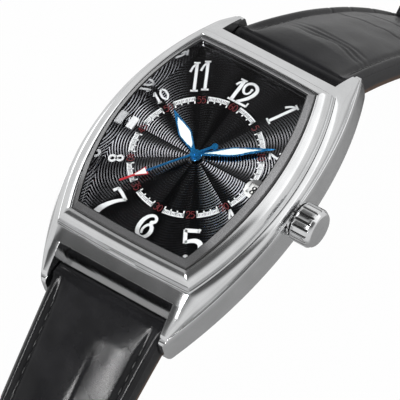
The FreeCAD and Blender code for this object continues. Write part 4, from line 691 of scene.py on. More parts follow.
def smooth_copy(node, finish, body, degrees=35.0, ease=0.0, name=None):
    """A smooth shaded copy of a solid in its place; ease draws its faces in to let it turn."""
    source = frame["nodes"][node]
    mesh = source.data.copy()
    mesh.transform(source.matrix_world)
    shape = bmesh.new()
    shape.from_mesh(mesh)
    bmesh.ops.remove_doubles(shape, verts=shape.verts, dist=2e-6)
    bmesh.ops.recalc_face_normals(shape, faces=shape.faces)
    shape.normal_update()
    for vertex in shape.verts:
        vertex.co -= vertex.normal * ease * MM
    shape.to_mesh(mesh)
    shape.free()
    mesh.materials.clear()
    mesh.materials.append(finish_named(finish))
    smoothed(mesh, degrees)
    piece = bpy.data.objects.new(name or node + "_finished", mesh)
    bpy.context.scene.collection.objects.link(piece)
    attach(piece, body)
    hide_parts(node)
    return piece


def dress(node, finish):
    """Gives a solid its finish and leaves its mesh alone."""
    solid = frame["nodes"][node]
    solid.data.materials.clear()
    solid.data.materials.append(finish_named(finish))


# The tonneau outline


class Outline:
    """Rings of points outside the dial opening, mitred at the corners."""

    def __init__(self, flank_steps=72, end_steps=48):
        opening = settings()[1]
        self.half = mm(opening.half_width)
        self.corner_x, self.corner_y = mm(opening.corner_x), mm(opening.corner_y)
        self.bulge = mm(opening.bulge)
        rise = self.half - self.corner_x
        self.radius = (self.corner_y**2 + rise**2) / (2 * rise)
        self.flank_steps, self.end_steps = flank_steps, end_steps

    def corner(self, side, end):
        y = self.corner_y + end
        return self.half - self.radius + math.sqrt((self.radius + side) ** 2 - y**2), y

    def ring(self, side, end=None):
        """Points anticlockwise from the right flank's lower corner; x and y."""
        end = side if end is None else end
        cx, cy = self.corner(side, end)
        centre = self.half - self.radius
        flank_radius = self.radius + side
        sweep = math.asin(cy / flank_radius)
        points = []
        for step in range(self.flank_steps):
            turn = -sweep + 2 * sweep * step / self.flank_steps
            points.append((centre + flank_radius * math.cos(turn), flank_radius * math.sin(turn)))
        end_radius = (cx**2 + self.bulge**2) / (2 * self.bulge)
        spread = math.asin(cx / end_radius)
        for step in range(self.end_steps):
            turn = spread - 2 * spread * step / self.end_steps
            points.append((end_radius * math.sin(turn),
                           cy + self.bulge - end_radius * (1 - math.cos(turn))))
        half = list(points)
        points += [(-x, -y) for x, y in half]
        return np.array(points)

    @property
    def count(self):
        return 2 * (self.flank_steps + self.end_steps)


def swept(name, rings, finish, body, smooth=30.0):
    """A closed shell whose rings of points go once round its section."""
    count = len(rings[0])
    faces = grid_faces(len(rings), count, True)
    last = (len(rings) - 1) * count
    for column in range(count):
        after = (column + 1) % count
        faces.append((last + column, last + after, after, column))
    return new_piece(name, np.concatenate(rings), faces, [finish], body, smooth, shell=True)


def ring_at(outline, side, end, height):
    """Ring with its height, which may fall away along the case."""
    flat = outline.ring(side, end)
    if callable(height):
        z = np.array([height(y) for _, y in flat])
    else:
        z = np.full(len(flat), height)
    return np.column_stack([flat, z])


def arch(crest, radius):
    return lambda y: crest - radius + math.sqrt(radius**2 - y**2)


BEZEL_ARCH = 225.0
BEZEL_STEP = 0.3
CRYSTAL_ARCH = 117.0
CRYSTAL_SIDE = 0.8
SEAL_WIDTH = 0.14
REHAUT_WIDTH = 1.0


class WATCH_OT_bezel(bpy.types.Operator):
    """Makes the bezel: a narrow step, a convex roll and a thin inner lip"""

    bl_idname = "watch.bezel"
    bl_label = "Bezel"

    def execute(self, context):
        opening = settings()[1]
        outline = Outline(96, 56)
        ridge, side, end = (mm(opening.ridge), mm(opening.bezel_side), mm(opening.bezel_end))
        top, step, seat = mm(opening.bezel_top), mm(opening.bezel_step), mm(opening.bezel_seat)
        profile = [(0.0, seat, False), (0.0, top - 0.28, True), (0.05, top - 0.2, True)]
        profile += [(0.10, top - 0.22, True), (0.13, top - 0.24, True), (0.17, top - 0.10, True)]
        profile += [(0.24, top - 0.03, True)]
        steps = 18
        lean = math.radians(16)
        for index in range(steps + 1):
            turn = lean + (math.pi / 2 - lean) * index / steps
            share = 0.16 + 0.84 * (math.sin(turn) - math.sin(lean)) / (1 - math.sin(lean))
            fall = (top - step - 0.25) * (1 - math.cos(turn) / math.cos(lean))
            profile.append((share, top - fall, True))
        profile += [(1.0, step + 0.12, True), (1.012, step + 0.03, True)]
        rings = []
        for share, level, arched in profile:
            offset_side, offset_end = ridge + share * side, ridge + share * end
            height = arch(level, BEZEL_ARCH) if arched else level
            rings.append(ring_at(outline, offset_side, offset_end, height))
        for extra, level in ((BEZEL_STEP - 0.07, step), (BEZEL_STEP, step - 0.08)):
            rings.append(ring_at(outline, ridge + side + extra, ridge + end + extra,
                                 arch(level, BEZEL_ARCH)))
        rings.append(ring_at(outline, ridge + side + BEZEL_STEP, ridge + end + BEZEL_STEP, seat))
        piece = swept("bezel_polished", rings, "polished_steel", "case", smooth=38.0)
        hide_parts("bezel")
        return {"FINISHED"}


class WATCH_OT_crystal(bpy.types.Operator):
    """Makes the domed crystal with its ground bevel, set in by the width of the seal round it"""

    bl_idname = "watch.crystal"
    bl_label = "Crystal"

    def execute(self, context):
        opening = settings()[1]
        outline = Outline(96, 56)
        edge = mm(opening.ridge) - SEAL_WIDTH
        top, bottom = mm(opening.crystal_top), mm(opening.crystal_bottom)
        bevel = mm(opening.crystal_bevel)

        def over(level):
            return arch(level, CRYSTAL_ARCH)

        side = [ring_at(outline, edge, edge, bottom),
                ring_at(outline, edge, edge, over(top - CRYSTAL_SIDE))]
        for share in (0.25, 0.5, 0.75, 1.0):
            offset = edge - bevel * share
            rise = CRYSTAL_SIDE - CRYSTAL_SIDE * share
            side.append(ring_at(outline, offset, offset, over(top - rise)))
        start = edge - bevel
        for share in (0.12, 0.3, 0.5, 0.7, 0.85, 0.95):
            ring = ring_at(outline, start, start, 0.0)
            ring[:, 0] *= 1 - share
            ring[:, 1] *= 1 - share
            ring[:, 2] = [over(top)(y) for y in ring[:, 1]]
            side.append(ring)
        count = outline.count
        points = np.concatenate(side + [np.array([[0.0, 0.0, top]])])
        faces = grid_faces(len(side), count, True)
        last = (len(side) - 1) * count
        faces += [(last + column, last + (column + 1) % count, len(points) - 1)
                  for column in range(count)]
        marks = [1] * (5 * count) + [0] * (len(faces) - 5 * count)
        piece = new_piece("crystal_clear", points, faces, ["crystal_glass", "crystal_bevel"],
                          "case", 20.0, marks=marks)
        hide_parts("crystal")
        return {"FINISHED"}


class WATCH_OT_rehaut(bpy.types.Operator):
    """Makes the polished wall that rises from the dial to the crystal"""

    bl_idname = "watch.rehaut"
    bl_label = "Rehaut"

    def execute(self, context):
        outline = Outline(96, 56)
        bottom, top = DIAL_TOP, low_high("rehaut_ring")[1][2]
        rings = [ring_at(outline, offset, offset, level)
                 for offset, level in ((REHAUT_WIDTH, bottom), (0.0, bottom),
                                       (0.0, top), (REHAUT_WIDTH, top))]
        piece = swept("rehaut_polished", rings, "mirror_wall", "case")
        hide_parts("rehaut_ring")
        crest = arch(mm(settings()[1].crystal_top) - SEAL_WIDTH, CRYSTAL_ARCH)
        rings = [ring_at(outline, offset, offset, level)
                 for offset, level in ((0.02, top + 0.01), (0.02, crest),
                                       (0.10, crest), (0.10, top + 0.01))]
        skirt = swept("crystal_silvered_edge", rings, "mirror_wall", "case")
        return {"FINISHED"}


# Case


def case_section(y, case, opening, steps=14):
    """Cross-section of the case at y, from the middle underneath round to the middle on top."""
    outline = Outline()
    flank = mm(case.flank_radius)
    hw = mm(case.half_width) - (flank - math.sqrt(flank**2 - y**2))
    top_radius, low_radius = mm(case.wall_top_radius), mm(case.wall_bottom_radius)
    wall_top = mm(case.wall_top) - (top_radius - math.sqrt(top_radius**2 - y**2))
    wall_low = mm(case.wall_bottom) - (low_radius - math.sqrt(low_radius**2 - y**2))
    side = mm(opening.ridge) + mm(opening.bezel_side)
    corner_x, corner_y = outline.corner(side, mm(opening.ridge) + mm(opening.bezel_end))
    away = abs(y)
    if away <= corner_y:
        crest = outline.half - outline.radius + math.sqrt((outline.radius + side) ** 2 - y**2)
        level = mm(case.shoulder_top) - (mm(case.shoulder_top) - mm(case.shoulder_end)) * (
            y / corner_y) ** 2
    else:
        share = (away - corner_y) / (mm(case.reach) - corner_y)
        crest = corner_x + (mm(case.lug_crest) - corner_x) * share
        level = mm(case.shoulder_end) - mm(case.lug_drop) * (0.7 * share + 0.3 * share**2)
    ledge = hw - mm(case.ledge) * min(1.0, (hw - crest) / 2)
    level = max(level, wall_top + 0.05)
    points = [(0.0, wall_low)]
    under = 0.45
    for index in range(6):
        turn = math.pi / 2 * index / 5
        points.append((hw - under + under * math.sin(turn),
                       wall_low + under - under * math.cos(turn)))
    for share in (0.25, 0.5, 0.75):
        points.append((hw, wall_low + under + (wall_top - wall_low - under - 0.12) * share))
    points += [(hw, wall_top - 0.12), (hw - 0.035, wall_top - 0.035), (hw - 0.12, wall_top)]
    points += [(ledge + 0.02, wall_top - 0.02)]
    chord = np.array([crest - ledge, level - wall_top])
    reach = np.linalg.norm(chord)
    outward_way = np.array([chord[1], -chord[0]]) / max(reach, 1e-6)
    swell = 0.55 * min(1.0, reach / 2)
    for index in range(steps + 1):
        share = index / steps
        place = np.array([ledge, wall_top]) + chord * share
        place = place + outward_way * swell * 4 * share * (1 - share)
        points.append(tuple(place))
    for share in (0.1, 0.4, 0.75, 1.0):
        points.append((crest * (1 - share), level))
    return points


def station_list(case):
    """Places along the case, closer together near the lug tips."""
    reach = mm(case.reach)
    half = list(np.linspace(0, 18.0, 46)) + list(np.linspace(18.4, reach, 40))
    return [-place for place in reversed(half[1:])] + half


def prism(outline, side, end, bottom, top):
    """Upright solid over an outline ring."""
    ring = outline.ring(side, end)
    count = len(ring)
    low = np.column_stack([ring, np.full(count, bottom)])
    high = np.column_stack([ring, np.full(count, top)])
    faces = [tuple(reversed(range(count))), tuple(range(count, 2 * count))]
    faces += [(column, (column + 1) % count, count + (column + 1) % count, count + column)
              for column in range(count)]
    return np.concatenate([low, high]), faces


def box_solid(low, high):
    xs, ys, zs = zip(low, high)
    points = [(x, y, z) for z in zs for y in ys for x in xs]
    faces = [(0, 2, 3, 1), (4, 5, 7, 6), (0, 1, 5, 4), (2, 6, 7, 3), (0, 4, 6, 2), (1, 3, 7, 5)]
    return np.array(points), faces


def cylinder_solid(radius, start, end, steps=40):
    start, end = Vector(start), Vector(end)
    axis = (end - start).normalized()
    side = axis.orthogonal().normalized()
    other = axis.cross(side)
    points = []
    for place in (start, end):
        for step in range(steps):
            turn = 2 * math.pi * step / steps
            points.append(tuple(place + (side * math.cos(turn) + other * math.sin(turn)) * radius))
    faces = [tuple(reversed(range(steps))), tuple(range(steps, 2 * steps))]
    faces += [(step, (step + 1) % steps, steps + (step + 1) % steps, steps + step)
              for step in range(steps)]
    return np.array(points), faces


def cut_away(piece, solids):
    """Takes solids out of a piece."""
    cutters = []
    for points, faces in solids:
        cutter = new_piece("cutter", points, faces, [], None)
        outward(cutter.data)
        cutters.append(cutter)
        modifier = piece.modifiers.new("cut", "BOOLEAN")
        modifier.operation = "DIFFERENCE"
        modifier.solver = "EXACT"
        modifier.object = cutter
    applied(piece)
    for cutter in cutters:
        mesh = cutter.data
        bpy.data.objects.remove(cutter)
        bpy.data.meshes.remove(mesh)
    return piece


def soft_edges(piece, width, degrees=35.0, segments=2):
    """Rounds the sharp edges a little so that they catch the light."""
    modifier = piece.modifiers.new("edges", "BEVEL")
    modifier.width = width * MM
    modifier.segments = segments
    modifier.limit_method = "ANGLE"
    modifier.angle_limit = math.radians(degrees)
    modifier.harden_normals = False
    modifier.use_clamp_overlap = True
    applied(piece)
    smoothed(piece.data, degrees)
    return piece


class WATCH_OT_case(bpy.types.Operator):
    """Makes the case middle with its flanks, shoulders and four lugs"""

    bl_idname = "watch.case_middle"
    bl_label = "Case middle"

    def execute(self, context):
        case, opening, _, _ = settings()
        rows = []
        reach, end_round, tip_round = mm(case.reach), mm(case.lug_round), mm(case.tip_round)
        for y in station_list(case):
            half = case_section(y, case, opening)
            ring = [(x, y, z) for x, z in half] + [(-x, y, z) for x, z in reversed(half[1:-1])]
            rows.append(ring)
        rows = np.array(rows)
        low, high = rows[0][:, 2].min(), rows[0][:, 2].max()
        for row in rows:
            away = reach - abs(row[0][1])
            if away < end_round:
                lift = end_round - math.sqrt(end_round**2 - (end_round - away) ** 2)
                row[:, 2] = np.maximum(row[:, 2], low + lift)
            if away < tip_round:
                drop = tip_round - math.sqrt(tip_round**2 - (tip_round - away) ** 2)
                row[:, 2] = np.minimum(row[:, 2], high - drop)
        count = rows.shape[1]
        points = rows.reshape(-1, 3)
        faces = grid_faces(len(rows), count, True)
        faces += [tuple(range(count)), tuple(reversed(range(len(points) - count, len(points))))]
        piece = new_piece("case_middle_polished", points, faces, ["polished_steel"], None)
        outward(piece.data)
        outline = Outline()
        ridge, side, end = mm(opening.ridge), mm(opening.bezel_side), mm(opening.bezel_end)
        gap, wall = mm(case.lug_gap) / 2, mm(case.body_half)
        wide = ridge + BEZEL_STEP + 0.05
        cut_away(piece, [
            prism(outline, wide + side, wide + end, mm(opening.bezel_seat), 20.0),
            prism(outline, ridge + 0.05, ridge + 0.05, -9.0, 20.0),
            box_solid((-gap, wall, -30.0), (gap, 40.0, 30.0)),
            box_solid((-gap, -40.0, -30.0), (gap, -wall, 30.0))])
        soft_edges(piece, 0.16, 40.0, 3)
        piece.data.materials.append(finish_named("satin_steel"))
        for face in piece.data.polygons:
            flat = face.normal.z > 0.9 and abs(face.center.x) < mm(case.lug_gap) / 2 * MM
            face.material_index = 1 if flat else 0
        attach(piece, "case")
        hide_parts("case_middle")
        return {"FINISHED"}


# Dial, print and numerals


def curve_through(points, per_span=8):
    """Smooth run through the points; each point is x, y and width."""
    points = [np.array(point, float) for point in points]
    if len(points) == 2:
        return [points[0], points[1]]
    padded = [2 * points[0] - points[1]] + points + [2 * points[-1] - points[-2]]
    run = []
    for index in range(1, len(padded) - 2):
        a, b, c, d = padded[index - 1:index + 3]
        for step in range(per_span):
            t = step / per_span
            run.append(0.5 * (2 * b + (c - a) * t + (2 * a - 5 * b + 4 * c - d) * t**2
                              + (3 * b - a - 3 * c + d) * t**3))
    run.append(points[-1])
    return run


def stroke(points, level, grow=0.0, straight=False):
    """Ribbon along a pen stroke, as points and faces."""
    run = [np.array(point, float) for point in points] if straight else curve_through(points)
    left, right = [], []
    for index, place in enumerate(run):
        before = run[max(0, index - 1)][:2]
        after = run[min(len(run) - 1, index + 1)][:2]
        along = (after - before) / max(np.linalg.norm(after - before), 1e-9)
        across = np.array([-along[1], along[0]]) * (place[2] / 2 + grow)
        spot = place[:2].copy()
        if index == 0:
            spot -= along * grow
        if index == len(run) - 1:
            spot += along * grow
        left.append((*(spot + across), level))
        right.append((*(spot - across), level))
    count = len(run)
    faces = [(count + index, count + index + 1, index + 1, index) for index in range(count - 1)]
    return left + right, faces


def dot(centre, radius, level, steps=20):
    points = [(centre[0] + radius * math.cos(2 * math.pi * step / steps),
               centre[1] + radius * math.sin(2 * math.pi * step / steps), level)
              for step in range(steps)]
    return points, [tuple(range(steps))]


def gather(parts):
    """Many small shapes as one list of points and faces."""
    points, faces = [], []
    for part_points, part_faces in parts:
        start = len(points)
        points += list(part_points)
        faces += [tuple(start + corner for corner in face) for face in part_faces]
    return points, faces


PHOTO_SCALE = 1 / 1.1

TALL_ONE = {
    "strokes": [[(0.0, 0.1, 0.46), (0.0, 5.2, 0.46)], [(-0.58, 0.12, 0.28), (0.58, 0.12, 0.28)],
                [(-0.52, 5.3, 0.24), (0.46, 5.3, 0.24)]],
    "curves": [[(-0.1, 5.1, 0.3), (-0.6, 4.5, 0.3), (-0.98, 3.6, 0.36)]],
}

LARGE_NUMERALS = {
    "one_of_twelve": [[(-1.19, 11.5, 0.58), (-1.17, 15.6, 0.56)],
                      [(-1.8, 11.46, 0.28), (-0.45, 11.46, 0.28)],
                      [(-1.85, 15.68, 0.26), (-0.72, 15.72, 0.26)],
                      [(-1.35, 15.4, 0.3), (-1.75, 14.9, 0.32), (-1.95, 14.35, 0.34)]],
    "two_of_twelve": [[(0.8, 14.55, 0.3), (0.72, 14.0, 0.3), (0.4, 13.62, 0.3), (0.0, 13.6, 0.34),
                       (-0.36, 14.0, 0.38), (-0.54, 14.7, 0.4), (-0.33, 15.4, 0.42),
                       (0.3, 15.82, 0.42), (1.05, 15.7, 0.48), (1.62, 15.1, 0.56),
                       (1.62, 14.2, 0.58), (1.2, 13.2, 0.56), (0.55, 12.35, 0.5),
                       (-0.15, 11.62, 0.42)],
                      [(-0.35, 11.5, 0.36), (1.62, 11.5, 0.36)],
                      [(1.62, 11.42, 0.26), (1.68, 12.25, 0.22)]],
    "seven": [[(-7.4, -10.75, 0.36), (-7.95, -11.55, 0.4)],
              [(-7.45, -10.8, 0.42), (-6.4, -11.3, 0.4), (-5.2, -12.05, 0.42)],
              [(-5.2, -11.95, 0.34), (-6.3, -12.8, 0.46), (-7.2, -13.85, 0.58),
               (-7.85, -15.0, 0.72), (-8.15, -16.1, 0.84)]],
    "six": [[(0.82, -13.2, 0.5), (1.15, -12.85, 0.46), (1.0, -12.3, 0.4), (0.4, -12.08, 0.42),
             (-0.3, -12.55, 0.5), (-0.72, -13.5, 0.58), (-0.76, -14.6, 0.6), (-0.5, -15.5, 0.56),
             (0.1, -16.1, 0.5), (0.85, -16.15, 0.5), (1.42, -15.5, 0.54), (1.5, -14.6, 0.56),
             (1.2, -13.95, 0.5), (0.72, -13.75, 0.4), (0.3, -14.1, 0.34), (0.1, -14.9, 0.3),
             (0.3, -15.6, 0.3)]],
    "five": [[(8.1, -10.4, 0.3), (8.16, -11.05, 0.34)], [(8.1, -10.78, 0.5), (6.1, -11.75, 0.5)],
             [(6.12, -11.6, 0.46), (7.4, -13.65, 0.46)],
             [(7.3, -13.55, 0.4), (7.9, -12.95, 0.5), (8.6, -12.5, 0.58), (9.35, -12.48, 0.62),
              (9.95, -13.0, 0.6), (10.15, -13.8, 0.56), (10.0, -14.7, 0.5), (9.55, -15.4, 0.44),
              (8.95, -15.8, 0.4)]],
}

LARGE_DOTS = [((8.85, -15.6), 0.38), ((0.78, -13.3), 0.36), ((0.8, 14.5), 0.2)]

SMALL_DIGITS = {
    "0": [[(0.0, 1.0, 0.2), (-0.42, 0.5, 0.24), (-0.46, 0.0, 0.26), (-0.42, -0.5, 0.24),
           (0.0, -1.0, 0.2), (0.42, -0.5, 0.24), (0.46, 0.0, 0.26), (0.42, 0.5, 0.24),
           (0.0, 1.0, 0.2)]],
    "1": [[(0.0, -1.0, 0.26), (0.0, 1.0, 0.26)], [(-0.02, 0.9, 0.18), (-0.36, 0.45, 0.16)],
          [(-0.3, -0.98, 0.14), (0.3, -0.98, 0.14)]],
    "2": [[(-0.45, 0.5, 0.22), (-0.3, 0.88, 0.22), (0.1, 1.0, 0.22), (0.45, 0.7, 0.24),
           (0.42, 0.25, 0.26), (0.0, -0.35, 0.26), (-0.46, -0.9, 0.22)],
          [(-0.5, -0.92, 0.22), (0.52, -0.92, 0.22)]],
    "3": [[(-0.42, 0.8, 0.2), (0.0, 1.0, 0.22), (0.42, 0.7, 0.24), (0.38, 0.3, 0.24),
           (0.0, 0.06, 0.2)],
          [(0.0, 0.06, 0.2), (0.42, -0.15, 0.24), (0.48, -0.55, 0.26), (0.1, -1.0, 0.22),
           (-0.45, -0.8, 0.2)]],
    "4": [[(0.22, -1.0, 0.26), (0.22, 1.0, 0.26)], [(0.18, 0.95, 0.2), (-0.5, -0.4, 0.2)],
          [(-0.55, -0.42, 0.2), (0.55, -0.42, 0.2)]],
    "5": [[(0.42, 0.92, 0.2), (-0.34, 0.92, 0.2)], [(-0.34, 0.95, 0.2), (-0.4, 0.15, 0.2)],
          [(-0.4, 0.15, 0.2), (0.05, 0.3, 0.22), (0.46, -0.05, 0.26), (0.44, -0.6, 0.26),
           (0.0, -1.0, 0.22), (-0.45, -0.78, 0.2)]],
    "6": [[(0.35, 0.9, 0.2), (-0.05, 0.85, 0.22), (-0.42, 0.3, 0.26), (-0.46, -0.4, 0.26),
           (-0.1, -0.98, 0.22), (0.36, -0.8, 0.24), (0.46, -0.3, 0.24), (0.15, 0.12, 0.22),
           (-0.32, -0.1, 0.2)]],
    "8": [[(0.0, 1.0, 0.2), (-0.24, 0.93, 0.22), (-0.36, 0.72, 0.24), (-0.38, 0.5, 0.25),
           (-0.26, 0.24, 0.25), (0.0, 0.04, 0.25), (0.28, -0.16, 0.25), (0.44, -0.42, 0.26),
           (0.42, -0.72, 0.26), (0.24, -0.93, 0.24), (0.0, -1.0, 0.22), (-0.24, -0.93, 0.24),
           (-0.42, -0.72, 0.26), (-0.44, -0.42, 0.26), (-0.28, -0.16, 0.25), (0.0, 0.04, 0.25),
           (0.26, 0.24, 0.25), (0.38, 0.5, 0.25), (0.36, 0.72, 0.24), (0.24, 0.93, 0.22),
           (0.0, 1.0, 0.2)]],
}


def placed(strokes, centre, turn, scale, pen=1.0):
    """Strokes turned clockwise by an angle in degrees, scaled and moved."""
    turn = math.radians(-turn)
    moved = []
    for points in strokes:
        run = []
        for x, y, width in points:
            x, y = x * scale, y * scale
            run.append((centre[0] + x * math.cos(turn) - y * math.sin(turn),
                        centre[1] + x * math.sin(turn) + y * math.cos(turn), width * scale * pen))
        moved.append(run)
    return moved


def lettering(strokes, level, grow=0.0):
    return [stroke(points, level, grow, straight=len(points) == 2) for points in strokes]


def small_number(text, centre, turn, height, pen=1.0):
    """Digits side by side, centred on a point."""
    strokes = []
    scale = height / 2
    spacing = 1.2 * scale
    angle_turn = math.radians(-turn)
    for index, digit in enumerate(text):
        shift = (index - (len(text) - 1) / 2) * spacing
        place = (centre[0] + shift * math.cos(angle_turn), centre[1] + shift * math.sin(angle_turn))
        strokes += placed(SMALL_DIGITS[digit], place, turn, scale, pen)
    return strokes


def raised(parts_top, parts_rim, name):
    """White tops on slightly wider grey rims."""
    points, faces = gather(parts_rim)
    rim = new_piece(name + "_rim", points, faces, ["numeral_rim"], "case", 30.0)
    points, faces = gather(parts_top)
    top = new_piece(name, points, faces, ["dial_print"], "case", 30.0)


DIAL_UNDER = 0.7
DIAL_THICKNESS = 0.4
DIAL_HOLE = 1.2
DATE_HOLE = ((9.35, -1.15, 0.0), (11.4, 0.7, 20.0))
DATE_PLATE_CENTRE, DATE_PLATE_RADIUS = (10.4, -0.15), 1.55
DATE_WINDOW_HALF, DATE_WINDOW_Y = (0.98, 0.88), -0.22
DATE_DEPTH = 0.36


class WATCH_OT_dial(bpy.types.Operator):
    """Makes the engine turned dial with its date window"""

    bl_idname = "watch.dial"
    bl_label = "Dial"

    def execute(self, context):
        outline = Outline(40, 24)
        points, faces = prism(outline, DIAL_UNDER, DIAL_UNDER, DIAL_TOP - DIAL_THICKNESS, DIAL_TOP)
        piece = new_piece("dial_turned", points, faces, ["dial_lacquer"], None)
        outward(piece.data)
        cut_away(piece, [cylinder_solid(DIAL_HOLE, (0, 0, 0), (0, 0, 20), 64),
                         box_solid(*DATE_HOLE)])
        smoothed(piece.data, 30.0)
        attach(piece, "case")
        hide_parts("dial")
        return {"FINISHED"}


class WATCH_OT_numerals(bpy.types.Operator):
    """Draws the hour numerals, the marker at nine and the date's printed plate"""

    bl_idname = "watch.numerals"
    bl_label = "Hour numerals"

    def execute(self, context):
        level = DIAL_TOP + 0.035
        strokes = []
        for name, pens in LARGE_NUMERALS.items():
            if name.endswith("twelve"):
                pens = [[(x, 11.46 + (y - 11.46) * 0.93, width) for x, y, width in points]
                        for points in pens]
            bold = {"five": 1.3, "seven": 1.25, "six": 1.12}.get(name, 1.0)
            strokes += [[(x, y, width * bold) for x, y, width in points] for points in pens]
        ones = TALL_ONE["strokes"] + TALL_ONE["curves"]
        strokes += placed(ones, (-7.19, 9.7), -28.6, 1.0)
        strokes += placed(ones, (-5.8, 10.75), -28.6, 1.0)
        strokes += placed(ones, (6.2, 11.0), 31.5, 0.98)
        strokes += small_number("10", (-11.35, 6.35), -60, 2.1, 1.25)
        strokes += small_number("2", (11.0, 6.4), 60, 2.1, 1.3)
        strokes += small_number("8", (-11.0, -6.55), 60, 2.2, 1.35)
        strokes += small_number("4", (10.9, -5.9), -60, 2.1, 1.35)
        scaled = [[(x * PHOTO_SCALE, y * PHOTO_SCALE, w * PHOTO_SCALE) for x, y, w in points]
                  for points in strokes]
        tops = lettering(scaled, level)
        rims = lettering(scaled, level - 0.015, 0.05)
        for centre, radius in LARGE_DOTS:
            spot = (centre[0] * PHOTO_SCALE, centre[1] * PHOTO_SCALE)
            tops.append(dot(spot, radius * PHOTO_SCALE, level + 0.002))
            rims.append(dot(spot, radius * PHOTO_SCALE + 0.05, level - 0.013))
        raised(tops, rims, "hour_numerals")
        smooth_copy("nine_marker", "dial_print", "case", 30.0, name="nine_marker_block")
        self.date_plate(level - 0.02)
        return {"FINISHED"}

    def date_plate(self, level):
        """Dished white plate about the date window, with the day's number on the disc below."""
        centre, radius = DATE_PLATE_CENTRE, DATE_PLATE_RADIUS
        rim_radius = radius * 0.93
        outer, rim, inner = [], [], []
        half_x, half_y = DATE_WINDOW_HALF
        steps = 64
        for step in range(steps):
            turn = 2 * math.pi * step / steps
            cos, sin = math.cos(turn), math.sin(turn)
            outer.append((centre[0] + radius * cos, centre[1] + radius * sin, level))
            rim.append((centre[0] + rim_radius * cos, centre[1] + rim_radius * sin, level + 0.03))
            reach = min(half_x / max(abs(cos), 1e-9), half_y / max(abs(sin), 1e-9))
            inner.append((centre[0] + reach * cos, reach * sin + DATE_WINDOW_Y, level - 0.01))
        faces = grid_faces(3, steps, True)
        plate = new_piece("date_plate", outer + rim + inner, faces, ["date_plate"], "case", 30.0)
        low = DIAL_TOP - DATE_DEPTH
        corners = [(9.2, -1.3, low), (11.5, -1.3, low), (11.5, 0.8, low), (9.2, 0.8, low)]
        ground = new_piece("date_ground_patch", corners, [(0, 1, 2, 3)], ["date_ground"], "case")
        strokes = small_number("8", (10.16, -0.30), 0, 1.25, 1.5)
        points, faces = gather(lettering(strokes, low + 0.012))
        number = new_piece("date_number", points, faces, ["date_ink"], "case", 30.0)


HOURS = 12
RUNGS = 15
BLOCK_RADII = (11.05, 10.86, 10.42, 9.82)
BLOCK_ANGLES = (math.radians(5.4), math.radians(24.6))


class WATCH_OT_minute_track(bpy.types.Operator):
    """Prints the minute track: arcs, ticks, ladder and dark red numbers"""

    bl_idname = "watch.minute_track"
    bl_label = "Minute track"

    def execute(self, context):
        level = DIAL_TOP + 0.012
        white = self.track(level)
        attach(white, "case")
        red = []
        for five in (1, 2, 4, 5, 6, 7, 8, 9, 10, 11, 12):
            turn = five * 30
            radius = 10.45 * PHOTO_SCALE
            centre = (radius * math.sin(math.radians(turn)), radius * math.cos(math.radians(turn)))
            lean = turn if math.cos(math.radians(turn)) > -0.2 else turn - 180
            text = str(five * 5)
            red += small_number(text, centre, lean, 1.1, 0.85)
        points, faces = gather(lettering(red, level))
        piece = new_piece("minute_numbers", points, faces, ["red_print"], "case", 30.0)
        return {"FINISHED"}

    def track(self, level):
        """One block of arc, ticks and ladder, repeated round the dial."""
        block = self.block(level)
        tree = Repeat("Minute track", {"Blocks": "NodeSocketInt"})
        blocks = tree.entry.outputs["Blocks"]
        points = tree.node("GeometryNodePoints", None, Count=blocks)
        index = tree.node("GeometryNodeInputIndex")
        full = tree.node("ShaderNodeMath", {"operation": "DIVIDE"}, 2 * math.pi, blocks)
        turn = Wire(tree, index.outputs[0]) * full.outputs[0]
        spin = tree.node("ShaderNodeCombineXYZ", None, Z=turn)
        tree.copies(points.outputs[0], tree.entry.outputs["Geometry"], spin.outputs[0],
                    "dial_print")
        tree.apply_to(block, Blocks=HOURS)
        return block

    def block(self, level):
        """Arc from the first to the fourth minute after an hour."""
        outer, band, ladder, tick = (value * PHOTO_SCALE for value in BLOCK_RADII)
        start, end = BLOCK_ANGLES

        def arc(inner_radius, outer_radius, steps=24):
            points = []
            for radius in (outer_radius, inner_radius):
                for step in range(steps + 1):
                    turn = math.pi / 2 - (start + (end - start) * step / steps)
                    points.append((radius * math.cos(turn), radius * math.sin(turn), level))
            count = steps + 1
            return points, [(i, i + 1, count + i + 1, count + i) for i in range(steps)]

        def bar(turn, inner_radius, outer_radius, width):
            turn = math.pi / 2 - turn
            along = np.array([math.cos(turn), math.sin(turn)])
            across = np.array([-along[1], along[0]]) * width / 2
            corners = [along * inner_radius - across, along * outer_radius - across,
                       along * outer_radius + across, along * inner_radius + across]
            return [(*corner, level) for corner in corners], [(0, 1, 2, 3)]

        parts = [arc(band, outer), arc(ladder - 0.13, ladder)]
        for minute in (1, 2, 3, 4):
            turn = math.radians(6 * minute)
            turn = min(max(turn, start + 0.008), end - 0.008)
            reach = tick if minute in (1, 4) else tick + 0.12
            parts.append(bar(turn, reach, band, 0.19))
        for rung in range(RUNGS):
            turn = start + (end - start) * (rung + 0.5) / RUNGS
            parts.append(bar(turn, ladder - 0.02, band + 0.01, 0.14))
        points, faces = gather(parts)
        return new_piece("minute_track", points, faces, ["dial_print"], None, 30.0)


# Hands


def leaf_outline(reach, width, root, belly=0.45, steps=14):
    """Right side of a lozenge blade from its neck to its tip."""
    side = []
    for index in range(steps + 1):
        share = index / steps
        y = root + (reach - root) * share
        if share < belly:
            half = 0.22 + (width / 2 - 0.22) * (share / belly) ** 1.05
        else:
            half = 0.05 + (width / 2 - 0.05) * (1 - (share - belly) / (1 - belly)) ** 0.95
        side.append((half, y))
    return side


def turned_points(points, clock):
    turn = math.radians(-clock)
    return [(x * math.cos(turn) - y * math.sin(turn), x * math.sin(turn) + y * math.cos(turn), z)
            for x, y, z in points]


